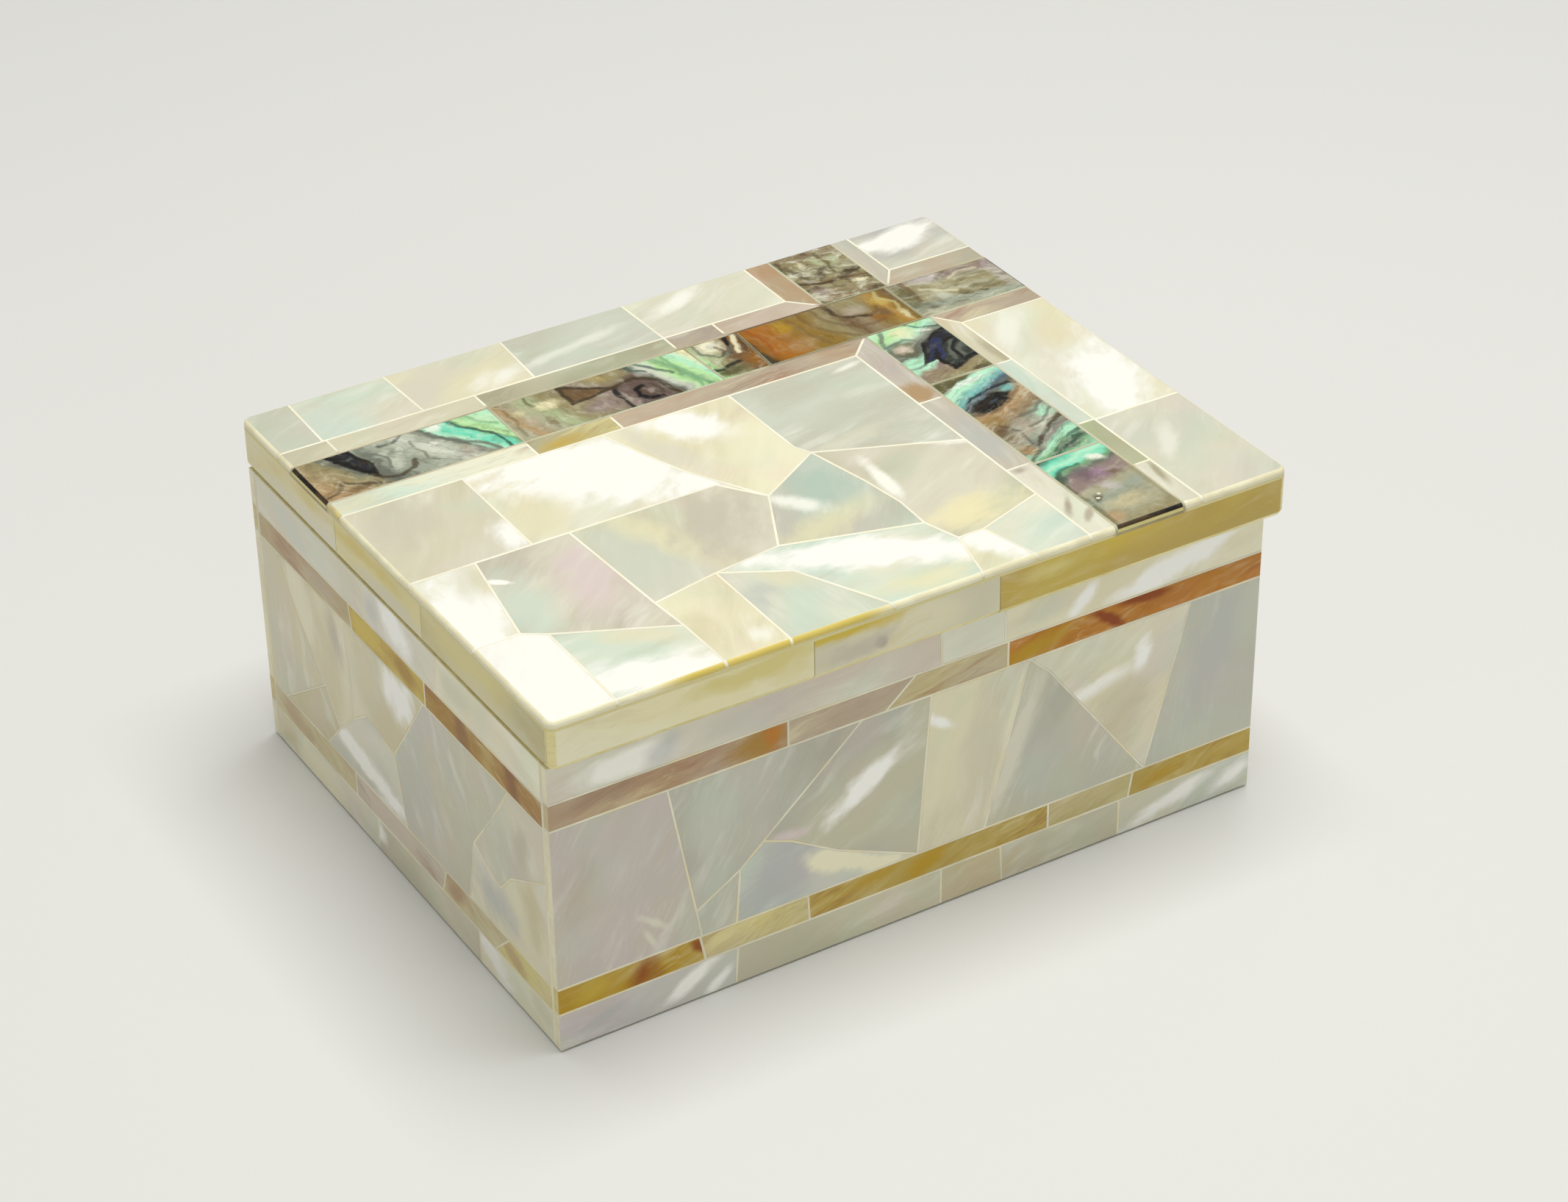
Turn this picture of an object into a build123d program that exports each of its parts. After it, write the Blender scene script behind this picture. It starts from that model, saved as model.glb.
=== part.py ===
from build123d import *
import os

# A lidded jewelry box: a wooden carcase and lid board, skinned all over with hand-cut pieces of
# polished shell set in a pale filler, lined with velvet and hung on two small brass hinges.
# Millimetres. +Z is up, the long front is at -Y, the hinged back at +Y, the short left side at -X.
# The origin is under the middle of the closed box, on the surface that it stands on.

# Lid
lid_length = 114.0
lid_depth = 89.3
lid_thickness = 7.2
lid_corner = 1.4
lid_top_rounding = 0.7
lid_bottom_rounding = 0.8
rim_strip = 0.9
lid_shell_piece = 1.0

# Case, and how far the lid reaches past it on each side
case_height = 45.0
left_overhang = 0.0
right_overhang = 2.8
front_overhang = 1.2
back_overhang = 1.3
seam = 0.2

# Wood
wall_board = 4.0
base_board = 3.0

# Shell skin: a filler bed, the pieces on it, and the joints between them
filler_bed = 0.4
shell_piece = 1.3
joint = 0.35
hairline = 0.1

# Courses of the case's sides, from the bottom and from the top
bottom_course = 6.1
lower_strip = 4.1
upper_strip = 4.1
top_course = 5.6
side_drop = 0.5

# Bands of the lid's top, inwards from its right and back edges
right_panel = 14.5
right_border = 2.9
back_panel = 12.2
border = 4.1
abalone_band = 11.1

# Felt and velvet
felt_thickness = 0.8
felt_stand = 0.3
felt_margin = 1.5
floor_velvet = 1.2
wall_velvet = 0.8
wall_velvet_drop = 1.0
lid_velvet = 1.0
lid_velvet_gap = 1.2
lid_velvet_corner = 2.0

# Hinges
hinge_length = 14.0
hinge_inset = 24.6
knuckle_radius = 1.1
knuckle_play = 0.15
pin_radius = 0.5
pin_clearance = 0.05
hinge_set_back = 0.15
leaf_thickness = 0.6
leaf_width = 4.0
turning_gap = 0.3
seat_gap = 0.1
screw_radius = 0.45
screw_head_radius = 0.95
screw_length = 3.2
screw_clearance = 0.05
screw_spacing = 8.0
screw_slot = 0.25

# Overall places
lid_left, lid_right = -lid_length / 2, lid_length / 2
lid_front, lid_back = -lid_depth / 2, lid_depth / 2
case_left = lid_left + left_overhang
case_right = lid_right - right_overhang
case_front = lid_front + front_overhang
case_back = lid_back - back_overhang
case_length = case_right - case_left
lid_bottom = case_height + seam
lid_top = lid_bottom + lid_thickness

# The wooden carcase fills the shell skin
skin = filler_bed + shell_piece
wood_left, wood_right = case_left + skin, case_right - skin
wood_front, wood_back = case_front + skin, case_back - skin
wood_bottom = felt_thickness
inner_left, inner_right = wood_left + wall_board, wood_right - wall_board
inner_front, inner_back = wood_front + wall_board, wood_back - wall_board
floor_top = wood_bottom + base_board

# The lid's board lies inside the rim strips, and its top skin covers both and reaches the edge
board_left, board_right = lid_left + rim_strip, lid_right - rim_strip
board_front, board_back = lid_front + rim_strip, lid_back - rim_strip
board_top = lid_top - filler_bed - lid_shell_piece

# Hinge axis, half-way up the seam and just behind the case
axis_y = case_back + hinge_set_back
axis_z = case_height + seam / 2
case_centre = (case_left + case_right) / 2
hinge_places = {"left": case_left + hinge_inset, "right": case_right - hinge_inset}
leaf_back = axis_y - knuckle_radius - turning_gap
leaf_front = leaf_back - leaf_width
screw_y = (leaf_front + leaf_back) / 2

# How large each mosaic field is laid out, along and up. A field of another size is drawn out from it.
front_end, front_far = 111.2, 25.1
side_end, side_far = 83.4, 25.1
lid_end, lid_far = 81.4, 57.9

# Joint corners of the long front's mosaic, along and up from the field's lower left corner
front_corners = {
    "a": (17.2, front_far), "b": (21.6, 0), "c": (20.9, 4.3), "d": (46.5, front_far), "e": (31.2, 11.6),
    "f": (27.6, 8.4), "g": (26.9, 0), "h": (35.5, 9.9), "i": (42.6, 5.6), "k": (57.2, front_far),
    "l": (55.2, 0), "m": (72.8, front_far), "n": (66, 0), "o": (76.2, 21.8), "p": (92.5, 0),
    "q": (99.3, front_far), "A": (0, 0), "B": (front_end, 0), "C": (front_end, front_far),
    "D": (0, front_far),
}
front_shards = ["AbcaD", "acfed", "cbgf", "fglihe", "ehilkd", "lnmk", "npom", "mopq", "pBCq"]

# The same for the short left side, from front to back
side_corners = {
    "a": (9.4, side_far), "b": (14.1, 18.5), "c": (20.3, 10.5), "d": (13.3, 7.5), "e": (10.1, 11),
    "f": (4.9, 13.8), "g": (0, 16.5), "h": (33.1, side_far), "i": (38.4, 17.8), "j": (43.5, 10.9),
    "k": (41.1, 0), "m": (22.6, 0), "n": (57.1, side_far), "o": (55.7, 9.7), "p": (51.6, 12.5),
    "q": (61.1, 4.9), "r": (65.6, 0), "s": (78.1, side_far), "t": (72.1, 17.1), "u": (64.9, 10.1),
    "v": (79.4, 0), "A": (0, 0), "B": (side_end, 0), "C": (side_end, side_far), "D": (0, side_far),
}
side_shards = [
    "gfedcbaD", "Amcdefg", "mkjihabc", "hijpon", "jkrqop", "qutsno", "qrvu", "uvBCst",
]

# The same for the lid's large field, from the lid's front left corner
lid_corners = {
    "a": (10, 18), "b": (7, 20), "c": (12, 17), "d": (25.5, 10.5), "e": (25, 17), "f": (10, 38),
    "g": (24, 38), "h": (18.5, 38), "i": (35.2, 19), "j": (45.5, 20.3), "k": (51, 31.8),
    "l": (46.5, 38), "n": (44.5, 44), "o": (42.5, 50), "p": (60.6, 41), "q": (61.8, 38.4),
    "r": (64.8, 14.8), "s": (65, 21), "t": (64, 28), "w": (66.5, 9.3), "x": (44, 14),
    "y": (70.5, 9.4), "1": (10, 0), "2": (25.7, 0), "3": (35.3, 0), "4": (50.8, 0), "5": (64.3, 0),
    "6": (72.9, 0), "7": (0, 20), "8": (0, 38), "9": (18.5, lid_far), "W": (40, lid_far),
    "X": (60.3, lid_far), "Y": (lid_end, 13), "Z": (lid_end, 30), "A": (0, 0), "B": (lid_end, 0),
    "C": (lid_end, lid_far), "D": (0, lid_far),
}
lid_shards = [
    "A1ab7", "7bf8", "bacdeghf", "12dca", "23ied", "eijklg", "8fh9D", "hglknoW9",
    "WonkqpX", "XpqZC", "kjrstq", "qtsrwyYZ", "ix45wrj", "34xi", "56yw", "6BYy",
]

# Cuts across each course, along its lower and its upper edge from where it starts. The last pair is
# where the course ends as it is laid out, so a course of another length is drawn out from there.
front_cuts = {
    "bottom_course": [(26.6, 27), (59, 59), (69, 68.7), (88.5, 88.5), (front_end, front_end)],
    "lower_strip": [(22.1, 21.3), (38.1, 37.9), (76.5, 76.5), (90, 90.7), (front_end, front_end)],
    "upper_strip": [(35.2, 35.2), (50, 54.8), (69.3, 69.3), (front_end, front_end)],
    "top_course": [(58.8, 58.6), (68.8, 68.8), (front_end, front_end)],
}
side_cuts = {
    "bottom_course": [(20.6, 20.6), (51.1, 50.5), (side_end, side_end)],
    "lower_strip": [(15.9, 11.6), (31, 29.5), (57.1, 57.1), (side_end, side_end)],
    "upper_strip": [(32.3, 32.3), (54.1, 54.9), (side_end, side_end)],
    "top_course": [(29.1, 28.2), (50.1, 50.1), (side_end, side_end)],
}
back_cuts = {
    "bottom_course": [(33.9, 33.6), (64.8, 64.8), (front_end, front_end)],
    "lower_strip": [(24.9, 25.7), (52.5, 52.5), (83, 81.7), (front_end, front_end)],
    "upper_strip": [(29.2, 29.2), (62, 58.3), (89.2, 89.2), (front_end, front_end)],
    "top_course": [(42.7, 42.9), (79.5, 79.5), (front_end, front_end)],
}
lid_cuts = {
    "right_tiles": [(24.8, 24.8), (57.8, 57.8)],
    "back_tiles": [(7, 7.3), (22.5, 22), (40, 40.7), (61, 60.6), (lid_end, lid_end)],
    "long_abalone": [(30.3, 30.3), (62.2, 61.8), (69.8, 70.4), (95.7, 95.7), (114, 114)],
    "cross_abalone": [(19.5, 19.5), (45, 45), (61.9, 61.9)],
    "inner_border": [(30.2, 30.2), (43.5, 43.5), (81.4, 85.5)],
    "outer_border": [(7.5, 7.5), (30.4, 30.4), (61, 61), (69, 69), (85.5, 81.4)],
    "left_border": [(20, 20), (41.5, 41.5), (57.8, 61.9)],
    "right_border": [(12, 12), (25, 25), (45, 45), (61.9, 57.8)],
}
rim_cuts = {
    "front": [(38.5, 38.5), (67, 67), (114, 114)],
    "back": [(33.6, 33.6), (73.2, 73.2), (114, 114)],
    "left": [(33.7, 33.7), (59, 59), (87.5, 87.5)],
    "right": [(39.9, 39.9), (87.5, 87.5)],
}
uncut = [(1, 1)]

os.makedirs("parts", exist_ok=True)


def save(piece, label):
    piece.label = label
    export_step(piece, f"parts/{label}.step")


# A box between two corners, for use inside a part's block
def slab(x0, x1, y0, y1, z0, z1, mode=Mode.ADD):
    with Locations(((x0 + x1) / 2, (y0 + y1) / 2, (z0 + z1) / 2)):
        Box(x1 - x0, y1 - y0, z1 - z0, mode=mode)


def between(start, end, share):
    return (start[0] + (end[0] - start[0]) * share, start[1] + (end[1] - start[1]) * share)


# A strip between a lower and an upper line, cut across into pieces
def run(lower_start, lower_end, upper_start, upper_end, cuts):
    lower_drawn, upper_drawn = cuts[-1]
    lower = [between(lower_start, lower_end, cut[0] / lower_drawn) for cut in [(0, 0), *cuts]]
    upper = [between(upper_start, upper_end, cut[1] / upper_drawn) for cut in [(0, 0), *cuts]]
    return [
        [lower[piece], lower[piece + 1], upper[piece + 1], upper[piece]]
        for piece in range(len(cuts))
    ]


# Shards named by the letters of their joint corners, drawn out over a field
def shards(corners, names, low, high):
    along = (high[0] - low[0]) / corners["C"][0]
    across = (high[1] - low[1]) / corners["C"][1]
    places = {key: (low[0] + u * along, low[1] + v * across) for key, (u, v) in corners.items()}
    return [[places[key] for key in name] for name in names]


# An outline drawn in by an amount, its corners kept sharp
def drawn_in(outline, amount):
    corners = [Vector(*point) for point in outline]
    before = [corners[-1], *corners[:-1]]
    after = [*corners[1:], corners[0]]
    turning = sum(a.X * b.Y - a.Y * b.X for a, b in zip(corners, after))
    turn = 90 if turning > 0 else -90
    smaller = []
    for first, corner, last in zip(before, corners, after):
        arriving = (corner - first).normalized().rotate(Axis.Z, turn)
        leaving = (last - corner).normalized().rotate(Axis.Z, turn)
        smaller.append(corner + (arriving + leaving) * (amount / (1 + arriving.dot(leaving))))
    return smaller


# Shell pieces cut to their outlines, less half a joint all round, and sunk into the face by depth
def cut_pieces(face, outlines, gap, depth):
    with BuildPart() as pieces:
        for outline in outlines:
            with BuildSketch(face):
                with BuildLine():
                    Polyline(*drawn_in(outline, gap / 2), close=True)
                make_face()
            extrude(amount=depth)
    return pieces


# Notches for the hinges: the case loses its share below the seam and the lid above it
def hinge_notches(low, high):
    with BuildPart() as notches:
        for place in hinge_places.values():
            half = hinge_length / 2 + turning_gap
            slab(place - half, place + half, leaf_back, lid_back + turning_gap, low, high)
    return notches.part


notch_bottom = axis_z - knuckle_radius - turning_gap
notch_top = axis_z + knuckle_radius + turning_gap
case_notches = hinge_notches(notch_bottom, lid_bottom)
lid_notches = hinge_notches(case_height, notch_top)

# Seats of the leaves and pilot holes of their screws, sunk down into the case or up into the lid
screw_places = [
    (place + side * screw_spacing / 2, screw_y)
    for place in hinge_places.values()
    for side in (-1, 1)
]


def leaf_seats(surface, up):
    low, high = sorted((surface, surface + up * leaf_thickness))
    with BuildPart() as seats:
        for place in hinge_places.values():
            half = hinge_length / 2 + seat_gap
            slab(place - half, place + half, leaf_front - seat_gap, lid_back, low, high)
        with BuildSketch(Plane.XY.offset(surface)):
            with Locations(*screw_places):
                Circle(screw_radius + screw_clearance)
        extrude(amount=up * (screw_length + screw_clearance))
    return seats.part


case_hinge_cuts = [case_notches, leaf_seats(case_height, -1)]
lid_hinge_cuts = [lid_notches, leaf_seats(lid_bottom, 1)]


# Wooden carcase: the long boards run past the short ones and the base sits between all four
wooden_boards = {
    "carcase_front": (wood_left, wood_right, wood_front, inner_front, wood_bottom, case_height),
    "carcase_left": (wood_left, inner_left, inner_front, inner_back, wood_bottom, case_height),
    "carcase_right": (inner_right, wood_right, inner_front, inner_back, wood_bottom, case_height),
    "carcase_base": (inner_left, inner_right, inner_front, inner_back, wood_bottom, floor_top),
}
for label, corners in wooden_boards.items():
    with BuildPart() as wooden_board:
        slab(*corners)
    save(wooden_board.part, label)

with BuildPart() as carcase_back:
    slab(wood_left, wood_right, inner_back, wood_back, wood_bottom, case_height)
    add(case_hinge_cuts, mode=Mode.SUBTRACT)
save(carcase_back.part, "carcase_back")

with BuildPart() as base_felt:
    slab(
        wood_left + felt_margin,
        wood_right - felt_margin,
        wood_front + felt_margin,
        wood_back - felt_margin,
        0,
        felt_thickness,
    )
save(base_felt.part, "base_felt")

# Velvet inside the case
with BuildPart() as floor_lining:
    slab(inner_left, inner_right, inner_front, inner_back, floor_top, floor_top + floor_velvet)
save(floor_lining.part, "floor_lining")

velvet_bottom = floor_top + floor_velvet
velvet_top = case_height - wall_velvet_drop
clear_left, clear_right = inner_left + wall_velvet, inner_right - wall_velvet
clear_front, clear_back = inner_front + wall_velvet, inner_back - wall_velvet
wall_linings = {
    "front_lining": (inner_left, inner_right, inner_front, clear_front),
    "back_lining": (inner_left, inner_right, clear_back, inner_back),
    "left_lining": (inner_left, clear_left, clear_front, clear_back),
    "right_lining": (clear_right, inner_right, clear_front, clear_back),
}
for label, plan in wall_linings.items():
    with BuildPart() as wall_lining:
        slab(*plan, velvet_bottom, velvet_top)
    save(wall_lining.part, label)


# Shell skin of one side of the case: five courses of pieces and the filler that holds them.
# The face's plane has its x along the side and its y up, and inwards says which way the wood is.
# The long sides' skins run past the ends of the short ones, so their end pieces have no end joint.
def case_skin(side, face, inwards, length, open_ends, drop, cuts, field, hinge_cuts=()):
    spill = joint / 2
    start, end = (-spill, length + spill) if open_ends else (0, length)
    levels = [
        felt_stand - spill,
        bottom_course - drop,
        bottom_course + lower_strip - drop,
        case_height - top_course - upper_strip - drop,
        case_height - top_course - drop,
        case_height + spill,
    ]
    names = ["bottom_course", "lower_strip", "field", "upper_strip", "top_course"]
    courses = {}
    for name, low, high in zip(names, levels, levels[1:]):
        if name == "field":
            outlines = shards(*field, (start, low), (end, high))
        else:
            outlines = run((start, low), (end, low), (start, high), (end, high), cuts[name])
        courses[name] = cut_pieces(face, outlines, joint, inwards * shell_piece)
    with BuildPart() as filler:
        with BuildSketch(face):
            with Locations((length / 2, (felt_stand + case_height) / 2)):
                Rectangle(length, case_height - felt_stand)
        extrude(amount=inwards * skin)
        for course in courses.values():
            add(course.part, mode=Mode.SUBTRACT)
        if hinge_cuts:
            add(hinge_cuts, mode=Mode.SUBTRACT)
    save(filler.part, f"{side}_filler")
    for name, course in courses.items():
        if hinge_cuts:
            with course:
                add(hinge_cuts, mode=Mode.SUBTRACT)
        save(course.part, f"{side}_{name}")


front_face = Plane(origin=(case_left, case_front, 0), x_dir=(1, 0, 0), z_dir=(0, -1, 0))
back_face = Plane(origin=(case_left, case_back, 0), x_dir=(1, 0, 0), z_dir=(0, -1, 0))
left_face = Plane(origin=(case_left, wood_front, 0), x_dir=(0, 1, 0), z_dir=(1, 0, 0))
right_face = Plane(origin=(case_right, wood_front, 0), x_dir=(0, 1, 0), z_dir=(1, 0, 0))
side_length = wood_back - wood_front
front_field = (front_corners, front_shards)
side_field = (side_corners, side_shards)

case_skin("front", front_face, -1, case_length, True, 0, front_cuts, front_field)
case_skin("back", back_face, 1, case_length, True, 0, back_cuts, front_field, case_hinge_cuts)
case_skin("left", left_face, 1, side_length, False, side_drop, side_cuts, side_field)
case_skin("right", right_face, -1, side_length, False, side_drop, side_cuts, side_field)

# Lid
with BuildPart() as lid_envelope:
    with BuildSketch(Plane.XY.offset(lid_bottom)):
        RectangleRounded(lid_length, lid_depth, lid_corner)
    extrude(amount=lid_thickness)
    fillet(lid_envelope.faces().sort_by(Axis.Z)[0].edges(), radius=lid_bottom_rounding)
    fillet(lid_envelope.faces().sort_by(Axis.Z)[-1].edges(), radius=lid_top_rounding)

with BuildPart() as lid_board:
    slab(board_left, board_right, board_front, board_back, lid_bottom, board_top)
    add(lid_envelope.part, mode=Mode.INTERSECT)
    add(lid_hinge_cuts, mode=Mode.SUBTRACT)
save(lid_board.part, "lid_board")

with BuildPart() as lid_lining:
    reach = wall_velvet + lid_velvet_gap
    with BuildSketch(Plane.XY.offset(lid_bottom - lid_velvet)):
        with Locations((case_centre, (inner_front + inner_back) / 2)):
            RectangleRounded(
                inner_right - inner_left - 2 * reach,
                inner_back - inner_front - 2 * reach,
                lid_velvet_corner,
            )
    extrude(amount=lid_velvet)
save(lid_lining.part, "lid_lining")

# The top skin's outlines run half a joint past the lid's edge, so its outer pieces have no end joint
top_left, top_right = lid_left - joint / 2, lid_right + joint / 2
top_front, top_back = lid_front - joint / 2, lid_back + joint / 2

# Places of the lid's bands: along the box at v, across it at u
u3 = lid_right - right_panel
u2 = u3 - right_border
u1 = u2 - abalone_band
u0 = u1 - border
v3 = lid_back - back_panel
v2 = v3 - border
v1 = v2 - abalone_band
v0 = v1 - border

# Every strip of the lid's top, with mitres where the borders turn at the crossing
top_pieces = {
    "field_tiles": shards(lid_corners, lid_shards, (top_left, top_front), (u0, v0)),
    "right_tiles": run(
        (u3, top_front), (u3, v0), (top_right, top_front), (top_right, v0), lid_cuts["right_tiles"]
    )
    + run((u3, v3), (top_right, v3), (u3, top_back), (top_right, top_back), uncut),
    "back_tiles": run(
        (top_left, v3), (u0, v3), (top_left, top_back), (u0, top_back), lid_cuts["back_tiles"]
    ),
    "long_abalone": run(
        (top_left, v1), (top_right, v1), (top_left, v2), (top_right, v2), lid_cuts["long_abalone"]
    ),
    "cross_abalone": run(
        (u1, top_front), (u1, v1), (u2, top_front), (u2, v1), lid_cuts["cross_abalone"]
    )
    + run((u1, v2), (u2, v2), (u1, top_back), (u2, top_back), uncut),
    "inner_border": run(
        (top_left, v0), (u0, v0), (top_left, v1), (u1, v1), lid_cuts["inner_border"]
    )
    + run((u3, v0), (top_right, v0), (u2, v1), (top_right, v1), uncut),
    "outer_border": run(
        (top_left, v2), (u1, v2), (top_left, v3), (u0, v3), lid_cuts["outer_border"]
    )
    + run((u2, v2), (top_right, v2), (u3, v3), (top_right, v3), uncut),
    "left_border": run(
        (u0, top_front), (u0, v0), (u1, top_front), (u1, v1), lid_cuts["left_border"]
    )
    + run((u0, v3), (u1, v2), (u0, top_back), (u1, top_back), uncut),
    "right_border": run(
        (u2, top_front), (u2, v1), (u3, top_front), (u3, v0), lid_cuts["right_border"]
    )
    + run((u2, v2), (u3, v3), (u2, top_back), (u3, top_back), uncut),
}

top_plane = Plane.XY.offset(lid_top)
top_groups = {
    label: cut_pieces(top_plane, outlines, joint, -lid_shell_piece)
    for label, outlines in top_pieces.items()
}
for label, pieces in top_groups.items():
    with pieces:
        add(lid_envelope.part, mode=Mode.INTERSECT)
    save(pieces.part, f"lid_{label}")

with BuildPart() as lid_filler:
    slab(lid_left, lid_right, lid_front, lid_back, board_top, lid_top)
    add(lid_envelope.part, mode=Mode.INTERSECT)
    for pieces in top_groups.values():
        add(pieces.part, mode=Mode.SUBTRACT)
save(lid_filler.part, "lid_filler")


# Shell strips round the lid's edge, under its top skin, the long ones running past the ends of the
# short ones
def rim(side, face, inwards, start, end):
    low, high = lid_bottom - hairline, board_top + hairline / 2
    outlines = run((start, low), (end, low), (start, high), (end, high), rim_cuts[side])
    pieces = cut_pieces(face, outlines, hairline, inwards * rim_strip)
    with pieces:
        add(lid_envelope.part, mode=Mode.INTERSECT)
        add(lid_notches, mode=Mode.SUBTRACT)
    save(pieces.part, f"lid_rim_{side}")


rim_front = Plane(origin=(0, lid_front, 0), x_dir=(1, 0, 0), z_dir=(0, -1, 0))
rim_back = Plane(origin=(0, lid_back, 0), x_dir=(1, 0, 0), z_dir=(0, -1, 0))
rim_left = Plane(origin=(lid_left, 0, 0), x_dir=(0, 1, 0), z_dir=(1, 0, 0))
rim_right = Plane(origin=(lid_right, 0, 0), x_dir=(0, 1, 0), z_dir=(1, 0, 0))
rim("front", rim_front, -1, lid_left - hairline, lid_right + hairline)
rim("back", rim_back, 1, lid_left - hairline, lid_right + hairline)
rim("left", rim_left, 1, board_front, board_back)
rim("right", rim_right, -1, board_front, board_back)


# A leaf with its knuckles: up is -1 for the case's leaf, which lies below the seam, 1 for the lid's
def hinge_leaf(place, up, knuckles):
    surface = case_height if up < 0 else lid_bottom
    low, high = sorted((surface, surface + up * leaf_thickness))
    half = hinge_length / 2
    with BuildPart() as leaf:
        slab(place - half, place + half, leaf_front, leaf_back, low, high)
        for start, end in knuckles:
            slab(place + start, place + end, leaf_back, axis_y, low, high)
            with BuildSketch(Plane.YZ.offset(place + start)):
                with Locations((axis_y, axis_z)):
                    Circle(knuckle_radius)
            extrude(amount=end - start)
        with BuildSketch(Plane.YZ.offset(place - half)):
            with Locations((axis_y, axis_z)):
                Circle(pin_radius + pin_clearance)
        extrude(amount=hinge_length, mode=Mode.SUBTRACT)
        for side in (-1, 1):
            at = Plane(origin=(place + side * screw_spacing / 2, screw_y, surface), z_dir=(0, 0, -up))
            with Locations(at):
                CounterSinkHole(
                    radius=screw_radius + screw_clearance,
                    counter_sink_radius=screw_head_radius + screw_clearance,
                    depth=leaf_thickness,
                    counter_sink_angle=90,
                )
    return leaf


third = hinge_length / 3
outer_knuckles = [
    (-hinge_length / 2, -third / 2 - knuckle_play / 2),
    (third / 2 + knuckle_play / 2, hinge_length / 2),
]
middle_knuckle = [(-third / 2 + knuckle_play / 2, third / 2 - knuckle_play / 2)]
for side, place in hinge_places.items():
    case_leaf = hinge_leaf(place, -1, outer_knuckles)
    save(case_leaf.part, f"{side}_hinge_case_leaf")
    lid_leaf = hinge_leaf(place, 1, middle_knuckle)
    save(lid_leaf.part, f"{side}_hinge_lid_leaf")
    with BuildPart() as hinge_pin:
        with BuildSketch(Plane.YZ.offset(place - hinge_length / 2)):
            with Locations((axis_y, axis_z)):
                Circle(pin_radius)
        extrude(amount=hinge_length)
    save(hinge_pin.part, f"{side}_hinge_pin")


# Countersunk screws whose heads lie flush with the leaves, slotted
def screws(surface, up):
    head = screw_head_radius - screw_radius
    with BuildPart() as group:
        for x, y in screw_places:
            at = Plane(origin=(x, y, surface), z_dir=(0, 0, up))
            with BuildSketch(at):
                Circle(screw_radius)
            extrude(amount=screw_length)
            with BuildSketch(at):
                Circle(screw_head_radius)
            extrude(amount=head, taper=45)
            with BuildSketch(at):
                Rectangle(2 * screw_head_radius, screw_slot)
            extrude(amount=screw_slot, mode=Mode.SUBTRACT)
    return group


case_screws = screws(case_height, -1)
save(case_screws.part, "hinge_case_screws")
lid_screws = screws(lid_bottom, 1)
save(lid_screws.part, "hinge_lid_screws")

print("hinge axis", round(axis_y, 3), round(axis_z, 3))
print("opening", clear_left, clear_right, clear_front, clear_back, velvet_bottom, lid_bottom - lid_velvet)
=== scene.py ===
import bmesh
import bpy
import math
import random
from mathutils import Matrix, Vector, noise


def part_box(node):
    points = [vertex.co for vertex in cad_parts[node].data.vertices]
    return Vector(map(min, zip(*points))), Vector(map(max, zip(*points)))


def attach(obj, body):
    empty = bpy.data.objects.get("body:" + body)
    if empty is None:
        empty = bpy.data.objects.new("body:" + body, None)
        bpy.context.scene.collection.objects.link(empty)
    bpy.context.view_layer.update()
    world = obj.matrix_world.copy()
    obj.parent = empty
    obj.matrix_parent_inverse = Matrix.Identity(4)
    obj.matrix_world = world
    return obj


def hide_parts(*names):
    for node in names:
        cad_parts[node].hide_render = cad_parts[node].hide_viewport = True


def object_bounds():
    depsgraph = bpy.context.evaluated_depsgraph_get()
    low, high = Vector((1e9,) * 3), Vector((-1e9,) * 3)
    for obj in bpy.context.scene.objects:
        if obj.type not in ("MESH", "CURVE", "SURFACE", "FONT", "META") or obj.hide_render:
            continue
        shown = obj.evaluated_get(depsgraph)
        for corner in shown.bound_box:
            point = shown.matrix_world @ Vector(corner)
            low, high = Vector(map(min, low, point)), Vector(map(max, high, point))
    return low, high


# A small jewelry box with a shell mosaic skin, dressed around its fixed frame.
# Metres in the frame; tables are in millimetres from the lid's front left corner and the ground.

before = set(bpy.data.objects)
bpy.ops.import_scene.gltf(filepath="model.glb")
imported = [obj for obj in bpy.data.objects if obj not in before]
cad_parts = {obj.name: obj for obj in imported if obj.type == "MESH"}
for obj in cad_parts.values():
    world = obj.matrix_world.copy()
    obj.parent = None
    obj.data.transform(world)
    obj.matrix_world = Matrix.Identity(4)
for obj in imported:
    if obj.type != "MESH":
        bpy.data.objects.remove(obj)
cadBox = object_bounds()
mm = 0.001
lidCorner = Vector((cadBox[0].x, cadBox[0].y, 0))
print("frame loaded:", len(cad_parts), "nodes")

# Camera, where the photograph was taken from
camera = {
    "place": (-232.5, -392.55, 319.9),  # mm from under the middle of the box
    "heading": 31.06,  # degrees from straight ahead to the right
    "down": 32.75,
    "roll": -0.84,
    "lens": 88.5,
    "film": 36,
}


# A new object in the scene
def placed(name, data):
    thing = bpy.data.objects.new(name, data)
    bpy.context.scene.collection.objects.link(thing)
    return thing


def placeCamera(look):
    data = bpy.data.cameras.new("camera")
    data.lens = look["lens"]
    data.sensor_width = look["film"]
    eye = placed("camera", data)
    eye.matrix_world = (
        Matrix.Translation(Vector(look["place"]) * mm)
        @ Matrix.Rotation(-math.radians(look["heading"]), 4, "Z")
        @ Matrix.Rotation(math.radians(90 - look["down"]), 4, "X")
        @ Matrix.Rotation(math.radians(look["roll"]), 4, "Z")
    )
    bpy.context.scene.camera = eye


placeCamera(camera)


# Colours as they look on a screen, 0 to 255
def tone(red, green, blue):
    return [((c / 255 + 0.055) / 1.055) ** 2.4 if c > 10 else c / 255 / 12.92 for c in (red, green, blue)] + [1]


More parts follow.
